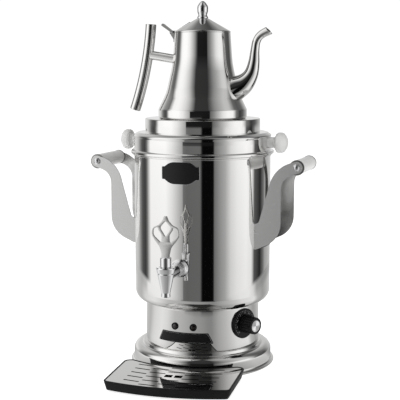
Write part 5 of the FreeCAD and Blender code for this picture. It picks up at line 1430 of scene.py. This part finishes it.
class TEAURN_OT_key(bpy.types.Operator):
    """The flat ornamental key with its diamond and two leaves"""
    bl_idname = "teaurn.key"
    bl_label = "Tap key"

    def execute(self, context):
        body, tap = settings().body, settings().tap
        low = tap.port_height / MM + BONNET_TOP + COLLAR_TOP
        width, height = 46.4, 64.8

        def spots(shares):
            return [(a * width / 2, b * height, r) for a, b, r in shares]
        edge = [(6.8, -7.0, 0)] + spots([
            (0.293, 0.06, 8), (0.405, 0.24, 16), (0.754, 0.39, 14), (1.0, 0.525, 10), (0.957, 0.71, 9),
            (0.50, 0.78, 9), (0.241, 0.88, 9), (0.103, 1.0, 1.6)])
        diamond = spots([(0, 0.494, 1.5), (0.405, 0.718, 5), (0, 0.88, 1.5), (-0.405, 0.718, 5)])
        leaf = spots([(0.31, 0.347, 1.2), (0.888, 0.532, 9), (0.836, 0.702, 5), (0.543, 0.725, 1.5),
                      (0.526, 0.671, 4), (0.284, 0.54, 6)])
        other = [(-u, v, r) for u, v, r in reversed(leaf)]
        outlines = [rounded(corners, True, supports=False) for corners in (both_sides(edge), diamond, leaf, other)]
        blade = flat_mesh("key", outlines, tap.key_thickness, tap.key_edge, 3)
        stand = shifted(0, -(body.tank_radius + tap.reach) / MM, low) @ Matrix.Rotation(QUARTER, 4, "X")
        place("key_dressed", moved(blade, stand), "tap_valve", "steel_satin", ["tap_key"], "edge")
        return {"FINISHED"}


# Lid and seat

class TEAURN_OT_lid(bpy.types.Operator):
    """The urn's lid and the raised seat for the teapot"""
    bl_idname = "teaurn.lid"
    bl_label = "Lid and seat"

    def execute(self, context):
        for name, section, node in (("lid", lid_section(), "lid_ring"), ("seat", seat_section(), "seat_ring")):
            place(name, spun(name, sheet_section(section, THIN_SHEET), "mirror"), "urn_lid", "steel_mirror", [node])
        return {"FINISHED"}


class TEAURN_OT_lid_knobs(bpy.types.Operator):
    """The two white knobs on the lid's wall"""
    bl_idname = "teaurn.lid_knobs"
    bl_label = "Lid knobs"

    def execute(self, context):
        wall = settings().body.tank_radius / MM + 0.3
        level = settings().body.tank_top + settings().lid.knob_height
        head = wall + 11.5
        tip = head + 21.0
        for side, name in SIDES:
            knob = turned("knob", [
                (2.6, wall - 2.4, 0), (9.6, wall - 2.4, 0), (9.6, wall + 1.0, 0.5), (9.3, wall + 1.6, 0.4),
                (8.8, head, 5), (17.2, head + 3.0, 5.5), (17.2, tip - 7.0, 8), (7.7, tip, 14), (0, tip, 0),
                (0, wall + 18.0, 0), (2.6, wall + 18.0, 0)], "white", 128, closed=True, limit=45.0)
            knob = moved(knob, Matrix.Translation((0, 0, level)) @ Matrix.Rotation(side * QUARTER, 4, "Y"))
            for vert in knob.vertices:
                if math.hypot(vert.co.x, vert.co.y) < wall * MM:
                    vert.co.x = side * drum_face(wall, vert.co.y)
            node = "lid_knob_" + name
            place(node + "_dressed", smooth(knob, 45.0), "urn_lid", "white_plastic", [node])
        return {"FINISHED"}


# Teapot

class TEAURN_OT_teapot(bpy.types.Operator):
    """The teapot's spun body, its base pan and the strainer holes behind the spout"""
    bl_idname = "teaurn.teapot"
    bl_label = "Teapot"

    def execute(self, context):
        body = self.strained(spun("pot", sheet_section(pot_section(), THIN_SHEET), "pot"))
        place("pot", body, "teapot", "steel_mirror", ["teapot_body"])
        pan = spun("pan", sheet_section(base_pan_section(), THIN_SHEET), "inner")
        place("pan", pan, "teapot", "steel_inner", ["teapot_base"])
        return {"FINISHED"}

    def strained(self, mesh):
        """Small round holes through the wall."""
        low = settings().lid.seat_top / MM
        cutters = []
        pitch, hole = 6.0, 1.8
        for radius in (0.0, 5.5, 11.0):
            count = max(1, round(2 * math.pi * radius / pitch))
            for i in range(count):
                turn = 2 * math.pi * i / count
                peg = spun("peg", [(0, 45), (hole, 45), (hole, 80), (0, 80)], None, segments=16)
                cutters.append(moved(peg, shifted(0, radius * math.sin(turn), low + 52.5 + radius * math.cos(turn))
                                     @ Matrix.Rotation(QUARTER, 4, "Y")))
        tool, holder = linked("pegs", joined("pegs", cutters)), linked("pot_cut", mesh)
        cut = holder.modifiers.new("Strainer", "BOOLEAN")
        cut.object = tool
        cut.operation = "DIFFERENCE"
        cut.solver = "EXACT"
        result = evaluated_mesh(holder)
        bpy.data.objects.remove(tool)
        return smooth(result)


def crossing(line, outside):
    """Share along a line of places where it first comes out of a shape."""
    for i in range(len(line) - 1):
        a, b = outside(line[i]), outside(line[i + 1])
        if a <= 0 < b:
            return i + a / (a - b)
    return 0.0


def on_line(line, where):
    """The place at a share along a line of places."""
    i = min(int(where), len(line) - 2)
    return line[i].lerp(line[i + 1], where - i)


def cut_line(line, start, end, steps):
    """Evenly spaced places on a line between two shares."""
    return [on_line(line, start + (end - start) * step / steps) for step in range(steps + 1)]


def through(values, t):
    """A smooth value through evenly numbered values at a place t."""
    count = len(values)
    i = min(int(t), count - 2)
    f = t - i
    p1, p2 = values[i], values[i + 1]
    p0 = values[i - 1] if i > 0 else p1 * 2 - p2
    p3 = values[i + 2] if i + 2 < count else p2 * 2 - p1
    return ((p1 * 2) + (p2 - p0) * f + (p0 * 2 - p1 * 5 + p2 * 4 - p3) * f ** 2
            + (p1 * 3 - p0 - p2 * 3 + p3) * f ** 3) * 0.5


# Rings along the spout: place out and up from the teapot's foot, radius, and the turn of its middle line
SPOUT = [(44.0, 46.0, 24.5, 22), (60.0, 51.5, 21.2, 26), (75.0, 60.5, 16.6, 42), (85.3, 75.0, 12.2, 66),
         (89.6, 93.0, 9.6, 80), (91.2, 112.0, 7.6, 84), (94.0, 128.0, 7.0, 68), (102.0, 138.6, 7.1, 42),
         (121.0, 148.0, 7.9, 26)]
SIDEWAYS = Vector((0, 1, 0))
LIP_LEAN = math.radians(46.0)
LIP_PLACE = (114.2, 145.2)      # where the cut crosses the spout, out and up from the teapot's foot
LIP_FROM = 120.0                # nothing is cut below this height
ROOT_DEPTH = 0.2                # how far the spout's root reaches into the teapot's wall
LINE_STEPS = 160                # steps along a line before it is cut


class TEAURN_OT_spout(bpy.types.Operator):
    """The swan-neck spout, its cut lip and the polished weld round its root"""
    bl_idname = "teaurn.spout"
    bl_label = "Spout"

    def execute(self, context):
        steps = 72
        grids = []
        for thinner in (0.0, 1.0):
            grid = []
            for line in self.lines(thinner, 64):
                start = crossing(line, lambda spot: outside_pot(spot) + ROOT_DEPTH * MM)
                past = int(start) + 1
                grid.append(cut_line(line, start, past + crossing(line[past:], self.past_lip), steps))
            grids.append(grid)
        outer, inner = grids
        rings = [[line[s] for line in outer] for s in range(steps + 1)]
        rings += [[line[s] for line in inner] for s in range(steps, -1, -1)]
        shell = mesh_from("spout", lambda work: skin(work, rings, closed_rows=True))
        bead = bead_mesh("spout_bead", rings[0], settings().lid.weld_bead)
        lip = bead_mesh("spout_lip", [(a[-1] + b[-1]) / 2 for a, b in zip(outer, inner)], 0.62 * MM)
        place("spout", joined("spout", [shell, bead, lip]), "teapot", "steel_mirror", ["teapot_spout"], "pot")
        return {"FINISHED"}

    def past_lip(self, spot):
        """How far a place lies beyond the slanting cut at the spout's mouth."""
        low = settings().lid.seat_top
        if spot.z < low + LIP_FROM * MM:
            return -1.0
        on_cut = Vector((LIP_PLACE[0] * MM, 0, low + LIP_PLACE[1] * MM))
        return (spot - on_cut).dot(Vector((math.sin(LIP_LEAN), 0, math.cos(LIP_LEAN))))

    def lines(self, thinner, count):
        """Lines of places along the spout's wall."""
        low = settings().lid.seat_top
        rings = []
        for x, z, radius, direction in SPOUT:
            a = math.radians(direction)
            centre, up = Vector((x * MM, 0, low + z * MM)), Vector((-math.sin(a), 0, math.cos(a)))
            rings.append(circle(centre, SIDEWAYS, up, (radius - thinner) * MM, count))
        return [[through(knots, t * (len(knots) - 1) / LINE_STEPS) for t in range(LINE_STEPS + 1)]
                for knots in zip(*rings)]


HANDLE_PLACES = ((-93.0, 158.0), (-103.0, 85.0), (-123.5, 12.5))    # out and up from the teapot's foot
HANDLE_RADIUS, STRUT_RADIUS = 9.4, 7.7


def handle_arc():
    """The circle on which the middle line of the teapot's handle lies, and its turn from the top down."""
    low = settings().lid.seat_top
    (ax, _, az), (bx, _, bz), (cx, _, cz) = [
        Vector((x * MM, 0, low + z * MM)) for x, z in HANDLE_PLACES]
    a, b, c = ax * ax + az * az, bx * bx + bz * bz, cx * cx + cz * cz
    d = 2 * (ax * (bz - cz) + bx * (cz - az) + cx * (az - bz))
    ux = (a * (bz - cz) + b * (cz - az) + c * (az - bz)) / d
    uz = (a * (cx - bx) + b * (ax - cx) + c * (bx - ax)) / d
    start, end = math.atan2(az - uz, ax - ux), math.atan2(cz - uz, cx - ux)
    turn = (end - start + math.pi) % (2 * math.pi) - math.pi
    return Vector((ux, 0, uz)), math.hypot(ax - ux, az - uz), start, turn


class TEAURN_OT_pot_handle(bpy.types.Operator):
    """The bent tube handle with closed ends, and the strut that joins it to the teapot"""
    bl_idname = "teaurn.pot_handle"
    bl_label = "Teapot handle"

    def execute(self, context):
        centre, bend, start, turn = handle_arc()
        tube_radius = HANDLE_RADIUS * MM
        run = abs(turn) * bend
        ends = [(s * MM, trim * MM) for s, trim in ((0.0, 0.8), (0.1, 0.45), (0.35, 0.2), (0.8, 0.0), (1.4, 0.0))]
        last = ends[-1][0]
        stations = ends + [(last + (run - 2 * last) * k / 60, 0.0) for k in range(1, 60)]
        stations += [(run - s, trim) for s, trim in reversed(ends)]
        places = []
        for s, _ in stations:
            a = start + turn * s / run
            places.append(centre + Vector((math.cos(a), 0, math.sin(a))) * bend)
        tube = tube_mesh("handle", places, [tube_radius - trim for _, trim in stations], 64)
        place("handle", tube, "teapot", "steel_mirror", ["teapot_handle"], "tube")
        self.strut(centre, bend, tube_radius)
        return {"FINISHED"}

    def strut(self, centre, bend, tube_radius):
        low = settings().lid.seat_top
        outer = Vector((-98.0 * MM, 0, low + 106.5 * MM))
        inner = Vector((-44.0 * MM, 0, low + 97.8 * MM))
        up = (inner - outer).normalized().cross(SIDEWAYS)
        places, steps = 120, 24

        def outside_tube(spot):
            flat = Vector((spot.x, 0, spot.z)) - centre
            return math.hypot(flat.length - bend, spot.y) - tube_radius
        grid = []
        for offset in circle(Vector(), SIDEWAYS, up, STRUT_RADIUS * MM, 48):
            line = [outer.lerp(inner, k / places) + offset for k in range(places + 1)]
            grid.append(cut_line(line, crossing(line, outside_tube), places - crossing(line[::-1], outside_pot),
                                 steps))
        rings = [list(ring) for ring in zip(*grid)]
        bead = settings().lid.weld_bead
        parts = [mesh_from("strut", lambda work: skin(work, rings)), bead_mesh("bead_outer", rings[0], bead),
                 bead_mesh("bead_inner", rings[-1], bead)]
        place("strut", joined("strut", parts), "teapot", "steel_mirror", ["handle_strut"], "tube")


class TEAURN_OT_pot_lid(bpy.types.Operator):
    """The teapot's coned lid, its strap and lever, the hinge and the acorn"""
    bl_idname = "teaurn.pot_lid"
    bl_label = "Teapot lid"

    def execute(self, context):
        lid = spun("pot_lid", sheet_section(pot_lid_section(), THIN_SHEET), "pot")
        place("pot_lid", lid, "pot_lid", "steel_mirror", ["teapot_lid"])
        low = settings().lid.pot_mouth / MM + 23.7
        acorn = turned("acorn", [
            (0, low, 0), (9.4, low, 0.8), (9.4, low + 2.4, 0.9), (7.2, low + 5.6, 3), (9.1, low + 10.5, 6),
            (9.5, low + 20.0, 8), (5.4, low + 26.0, 5), (2.0, low + 28.8, 2), (0, low + 28.8, 0)], "chrome", 96,
            supports=True)
        rivet = turned("rivet", [
            (0, low + 1, 0), (2.0, low + 1, 0), (2.0, low - 1.0, 0), (4.0, low - 1.0, 0.2), (3.6, low - 2.3, 0.8),
            (0, low - 2.6, 0)][::-1], "chrome", 48)
        place("acorn", joined("acorn", [acorn, rivet]), "pot_lid", "chrome", ["finial"])
        for name, node, edge, body in (("strap", "lid_strap", 0.3, "pot_lid"),
                                       ("hinge", "hinge_bracket", 0.25, "teapot")):
            place(name, edged_copy(node, edge * MM), body, "steel_mirror", [node], "hinge")
        return {"FINISHED"}


# Drip tray

TRAY_PIVOT = -122.7     # middle of the tray's back edge; the loose tray is turned about it


def tray_corners():
    """The tray's rim seen from above: straight sides, and a front and a back that both bow forwards."""
    half, front, back = settings().tray.width / MM / 2, -219.7, -90.3

    def bowed(middle_y, rise):
        depth = rise * 0.7
        lean = math.atan((rise + depth) / half)
        return (0, middle_y - depth, depth / (1 / math.cos(lean) - 1))
    return [(-half, front, 10.0), bowed(-235.1, 15.4), (half, front, 10.0), (half, back, 12.0),
            bowed(TRAY_PIVOT, 32.4), (-half, back, 12.0)]


def tray_ring(distance, level):
    """Places round the tray, a distance inside its rim."""
    points = rounded(inset(tray_corners(), distance, closed=True), True, 12, False)
    return [Vector((p.x * MM, p.y * MM, level * MM)) for p in points]


def beside_tap(mesh):
    """Moves a piece of the tray to where the loose tray stands."""
    tray = settings().tray
    return moved(mesh, Matrix.Translation((tray.place_x, 0, 0)) @ shifted(0, TRAY_PIVOT, 0)
                 @ Matrix.Rotation(tray.turn, 4, "Z") @ shifted(0, -TRAY_PIVOT, 0))


class TEAURN_OT_tray(bpy.types.Operator):
    """The black drip tray with its soft rim"""
    bl_idname = "teaurn.tray"
    bl_label = "Drip tray"

    def execute(self, context):
        top = settings().tray.top / MM
        low = top - 16.0
        ledge = top - 1.7
        levels = [(5.6, low), (4.6, low + 0.25), (4.05, low + 0.9), (3.9, low + 1.6)]
        levels += [(3.9 - 3.75 * k / 4, low + 1.6 + (12.4 * k / 4)) for k in range(1, 5)]
        levels += [(0.05, top - 1.0), (0.2, top - 0.45), (0.55, top - 0.12), (1.1, top), (2.1, top),
                   (2.65, top - 0.15), (2.95, top - 0.5), (3.0, ledge), (5.2, ledge - 0.02), (8.2, ledge - 0.05),
                   (8.2, low + 3.2), (9.4, low + 2.0)]
        rings = [tray_ring(distance, level) for distance, level in levels]
        mesh = mesh_from("tray", lambda work: skin(work, rings, ends=True))
        place("tray", beside_tap(mesh), "tray", "black_plastic", ["drip_tray"], "black")
        return {"FINISHED"}


class TEAURN_OT_grille(bpy.types.Operator):
    """The slotted steel grille that lies in the tray"""
    bl_idname = "teaurn.grille"
    bl_label = "Grille"

    def execute(self, context):
        tray = settings().tray
        points = tray_ring(3.35, 0.0)
        start = bpy.data.meshes.new("grille_outline")
        start.from_pydata(points, [(i, (i + 1) % len(points)) for i in range(len(points))], [])
        mesh = grown("grille", start, "slotted", {
            "Slot length": tray.slot_length, "Slot width": tray.slot_width, "Columns": 5, "Rows": 5,
            "Column pitch": 29.6 * MM, "Row pitch": 20.8 * MM, "First row": -129.9 * MM, "Row radius": 280.0 * MM,
            "Finger hole": 12.6 * MM, "Finger gap": 3.6 * MM, "Thickness": tray.grille_thickness,
            "Level": tray.top - 0.7 * MM - tray.grille_thickness, "Material": material_named("mirror")})
        place("grille_dressed", beside_tap(tidy(mesh)), "tray_grille", "steel_mirror", ["grille"])
        return {"FINISHED"}


# Stage

FLOOR_HALF = 6.0                # metres
MIRRORED_FLOOR_BEHIND = 0.15    # how far behind the urn the middle of the mirrored greys lies, in metres


def turn_from_camera(wiring, x, y):
    """The turn of a place round the urn, 0.5 towards the camera and growing to its right."""
    azimuth = settings().stage.azimuth
    c, s = math.cos(azimuth), math.sin(azimuth)
    return wiring.maths("ARCTAN2", x * c + y * s, x * s - y * c) / (2 * math.pi) + 0.5


def greys_by_turn(wiring, turn, stops):
    """Greys by degrees from the camera's direction."""
    node = wiring.add("ShaderNodeValToRGB", {0: turn})
    elements = node.color_ramp.elements
    while len(elements) > 1:
        elements.remove(elements[-1])
    for i, (degrees, grey) in enumerate(stops):
        element = elements.new(degrees / 360 + 0.5) if i else elements[0]
        element.position = degrees / 360 + 0.5
        element.color = (grey, grey, grey, 1)
    return node


# Greys that the steel mirrors, by degrees from the camera's direction, from just under eye level upwards
LOW = [
    (-180, 0.85), (-144, 0.72), (-136, 0.56), (-129, 0.30), (-122, 0.11), (-112, 0.06), (-107, 0.18), (-103, 0.55),
    (-97, 1.18), (-64, 1.22), (-52, 0.97), (-33.8, 0.46), (-32.2, 0.19), (-26, 0.16), (-4.5, 0.17), (-2.6, 0.10),
    (-1, 0.003), (18, 0.003), (19.6, 0.19), (28, 0.34), (38, 0.50), (48, 0.87), (60, 1.06), (78, 1.18), (90, 1.07),
    (94, 0.55), (97, 0.12), (113, 0.02), (124, 0.20), (131, 0.46), (150, 0.62), (180, 0.85)]
LEVEL = [
    (-180, 0.80), (-150, 0.84), (-139, 0.70), (-128, 0.30), (-120, 0.12), (-108, 0.08), (-103, 0.40), (-97, 1.16),
    (-79, 1.25), (-65, 1.24), (-52, 1.02), (-33.8, 0.48), (-32.4, 0.014), (18, 0.010), (19.6, 0.15), (30, 0.32),
    (42, 0.62), (55, 0.98), (68, 1.16), (84, 1.16), (90, 0.80), (97, 0.22), (112, 0.05), (128, 0.12), (148, 0.42),
    (180, 0.80)]
BROW = [
    (-180, 0.80), (-150, 0.88), (-139, 0.84), (-128, 0.40), (-120, 0.14), (-108, 0.12), (-101, 0.26), (-95, 0.72),
    (-88, 1.16), (-79, 1.25), (-65, 1.24), (-52, 1.04), (-39, 0.62), (-30, 0.32), (-24, 0.11), (-19, 0.014),
    (17, 0.011), (20, 0.14), (30, 0.29), (42, 0.56), (55, 0.92), (68, 1.08), (82, 1.06), (90, 0.72), (98, 0.25),
    (106, 0.11), (128, 0.08), (148, 0.49), (180, 0.80)]
HIGH = [
    (-180, 0.55), (-155, 0.62), (-139, 0.56), (-124, 0.30), (-110, 0.20), (-96, 1.14), (-82, 1.18), (-70, 1.11),
    (-58, 0.92), (-47, 0.68), (-36, 0.32), (-25, 0.04), (17, 0.035), (28, 0.15), (39, 0.31), (50, 0.43), (61, 0.54),
    (73, 0.66), (86, 0.64), (96, 0.36), (103, 0.16), (116, 0.11), (133, 0.16), (150, 0.36), (180, 0.55)]
OVERHEAD = [
    (-180, 0.12), (-166, 0.20), (-150, 0.34), (-120, 0.45), (-96, 0.95), (-82, 1.0), (-58, 0.82), (-47, 0.60),
    (-36, 0.30), (-25, 0.045), (17, 0.04), (28, 0.15), (39, 0.29), (50, 0.40), (73, 0.58), (88, 0.52), (103, 0.18),
    (125, 0.16), (155, 0.08), (170, 0.08), (180, 0.12)]
# The same for the floor, near the urn and farther out; the near greys hold painted shade where the urn and its tray
# darken the floor
NEAR_FLOOR = [
    (-180, 0.95), (-158, 0.91), (-135, 0.59), (-118, 0.56), (-104, 0.80), (-95, 0.88), (-80, 0.95), (-68, 0.86),
    (-52, 0.60), (-39, 0.54), (-25, 0.45), (-14, 0.37), (-2, 0.34), (10, 0.28), (16, 0.28), (28, 0.44), (41, 0.57),
    (50, 0.68), (62, 0.84), (88, 0.92), (98, 0.55), (115, 0.40), (140, 0.60), (165, 0.80), (180, 0.95)]
FAR_FLOOR = [
    (-180, 0.90), (-140, 0.62), (-118, 0.50), (-104, 0.62), (-97, 1.00), (-64, 1.07), (-52, 0.88), (-33.8, 0.46),
    (-32.2, 0.20), (-26, 0.17), (-4.5, 0.17), (-2.6, 0.10), (-1, 0.012), (18, 0.012), (19.6, 0.19), (28, 0.32),
    (38, 0.46), (48, 0.78), (60, 0.95), (78, 1.00), (88, 0.85), (97, 0.42), (113, 0.33), (131, 0.36), (150, 0.50),
    (180, 0.90)]


def surroundings(world):
    """Studio surroundings that the polished steel mirrors: soft boxes, a grey panel and dark gaps between them."""
    world.use_nodes = True
    tree = world.node_tree
    tree.nodes.clear()
    wiring = Wiring(tree)
    x, y, z = wiring.split(wiring.out("ShaderNodeTexCoord", output="Generated"))
    turn = turn_from_camera(wiring, x, y)
    height = wiring.maths("ARCSINE", z) / QUARTER
    sky = greys_by_turn(wiring, turn, LOW)
    for stops, start, end in ((LEVEL, -0.043, -0.033), (BROW, 0.004, 0.026), (HIGH, 0.10, 0.25),
                              (OVERHEAD, 0.42, 0.58)):
        sky = wiring.mixed(wiring.ranged(height, start, end), sky, greys_by_turn(wiring, turn, stops))
    mirrored = wiring.add("ShaderNodeBackground", {
        "Color": sky, "Strength": wiring.ranged(height, -0.13, -0.05, 0.88, 1.0)})
    seen = wiring.add("ShaderNodeBackground", {"Color": (1, 1, 1, 1), "Strength": 1.05})
    seen_directly = wiring.out("ShaderNodeLightPath", output="Is Camera Ray")
    wiring.add("ShaderNodeOutputWorld", {0: wiring.mixed_shaders(seen_directly, mirrored, seen)})


def floor_material():
    """A pale studio floor: near white where it is seen; where the steel mirrors it, a softer grey painted in as
    emission, a painted reflection with painted shade near the urn.
    """
    finish = Finish("Pale floor")
    wiring, where, stage = finish.wiring, finish.where, settings().stage
    finish.toned(wiring.noise(where, 3.0), stage.floor_tone, 0.99, 1.0)
    finish.set(Roughness=0.9, Specular_IOR_Level=0.0, Emission_Color=(1, 1, 1, 1), Emission_Strength=0.80)
    x, y, _ = wiring.split(where)
    turn = turn_from_camera(wiring, x, y)
    reach = wiring.length(x + MIRRORED_FLOOR_BEHIND * math.sin(stage.azimuth),
                          y - MIRRORED_FLOOR_BEHIND * math.cos(stage.azimuth))
    greys = wiring.mixed(wiring.ranged(reach, 0.62, 0.70), greys_by_turn(wiring, turn, NEAR_FLOOR),
                         greys_by_turn(wiring, turn, FAR_FLOOR))
    # painted shade: the mirrored floor is darker within about 0.24 m of the urn's axis
    grey = wiring.add("ShaderNodeEmission", {
        "Color": greys, "Strength": wiring.ranged(wiring.length(x, y), 0.14, 0.24, 0.68, 1.0)})
    beyond = wiring.ranged(reach, 0.75, 0.80)
    table = wiring.mixed_shaders(beyond, grey, wiring.add("ShaderNodeBsdfTransparent"))
    mirrored = wiring.out("ShaderNodeLightPath", output="Is Glossy Ray")
    out = next(node for node in finish.material.node_tree.nodes if node.type == "OUTPUT_MATERIAL")
    wiring.put(wiring.mixed_shaders(mirrored, finish.shader, table), out.inputs[0])
    return finish.material


def looking(item, forward):
    """Turns a camera or light to look along a direction."""
    item.rotation_euler = forward.to_track_quat("-Z", "Y").to_euler()


def soft_light(name, spot, aim, size, power):
    """A square light that the steel doesn't mirror."""
    data = bpy.data.lights.new(name, "AREA")
    data.shape = "SQUARE"
    data.size = size
    data.energy = power
    light = linked(name, data)
    light.location = spot
    light.visible_glossy = False
    looking(light, Vector(aim) - Vector(spot))


class TEAURN_OT_stage(bpy.types.Operator):
    """Camera, pale floor, soft light and the surroundings that the steel mirrors"""
    bl_idname = "teaurn.stage"
    bl_label = "Stage"

    def execute(self, context):
        stage = settings().stage
        scene = context.scene
        a, p, w = stage.azimuth, stage.pitch, stage.yaw
        camera = linked("Camera", bpy.data.cameras.new("Camera"))
        camera.data.lens = stage.lens
        camera.data.sensor_width = 36.0
        camera.location = (stage.distance * math.sin(a), -stage.distance * math.cos(a), stage.height)
        ahead, right = Vector((-math.sin(a), math.cos(a), 0)), Vector((math.cos(a), math.sin(a), 0))
        level = ahead * math.cos(w) - right * math.sin(w)
        looking(camera, level * math.cos(p) - Vector((0, 0, math.sin(p))))
        scene.camera = camera
        scene.world = scene.world or bpy.data.worlds.new("Studio")
        surroundings(scene.world)
        scene.view_settings.view_transform = "Standard"
        corners = [(x * FLOOR_HALF, y * FLOOR_HALF, 0.0) for x, y in ((-1, -1), (1, -1), (1, 1), (-1, 1))]
        ground = bpy.data.meshes.new("floor")
        ground.from_pydata(corners, [], [(0, 1, 2, 3)])
        ground.materials.append(floor_material())
        floor = linked("floor", ground)
        for light in (("Overhead", (0.1, -0.3, 2.2), (0, 0, 0.2), 1.6, 10.0),
                      ("Left box", (-1.6, -1.5, 1.0), (0, 0, 0.35), 1.2, 8.0),
                      ("Right box", (1.9, -0.7, 0.9), (0, 0, 0.35), 1.0, 5.0)):
            soft_light(*light)
        return {"FINISHED"}


OPERATORS = (
    TEAURN_OT_stage, TEAURN_OT_foot, TEAURN_OT_screws, TEAURN_OT_housing, TEAURN_OT_tank, TEAURN_OT_badge,
    TEAURN_OT_label, TEAURN_OT_lamps, TEAURN_OT_thermostat, TEAURN_OT_gland, TEAURN_OT_handles, TEAURN_OT_grips,
    TEAURN_OT_tap, TEAURN_OT_key, TEAURN_OT_lid, TEAURN_OT_lid_knobs, TEAURN_OT_teapot, TEAURN_OT_spout,
    TEAURN_OT_pot_handle, TEAURN_OT_pot_lid, TEAURN_OT_tray, TEAURN_OT_grille)


class TEAURN_PT_panel(bpy.types.Panel):
    """Lists the urn's pieces in the sidebar"""
    bl_idname = "TEAURN_PT_panel"
    bl_label = "Tea urn"
    bl_space_type = "VIEW_3D"
    bl_region_type = "UI"
    bl_category = "Tea urn"

    def draw(self, context):
        column = self.layout.column(align=True)
        for operator in OPERATORS:
            column.operator(operator.bl_idname)


GROUP_CLASSES = (TeaUrnBodySizes, TeaUrnLidSizes, TeaUrnTapSizes, TeaUrnControlSizes, TeaUrnTraySizes,
                 TeaUrnFinishes, TeaUrnStage, TeaUrnSettings)


def register():
    for item in (*GROUP_CLASSES, *OPERATORS, TEAURN_PT_panel):
        bpy.utils.register_class(item)
    bpy.types.Scene.tea_urn = PointerProperty(type=TeaUrnSettings)


def unregister():
    del bpy.types.Scene.tea_urn
    for item in reversed((*GROUP_CLASSES, *OPERATORS, TEAURN_PT_panel)):
        bpy.utils.unregister_class(item)


def main():
    register()
    for operator in OPERATORS:
        module, name = operator.bl_idname.split(".")
        result = getattr(getattr(bpy.ops, module), name)()
        if result != {"FINISHED"}:
            raise RuntimeError(operator.bl_label + " wasn't finished")
    bpy.context.view_layer.update()


if __name__ == "__main__":
    main()
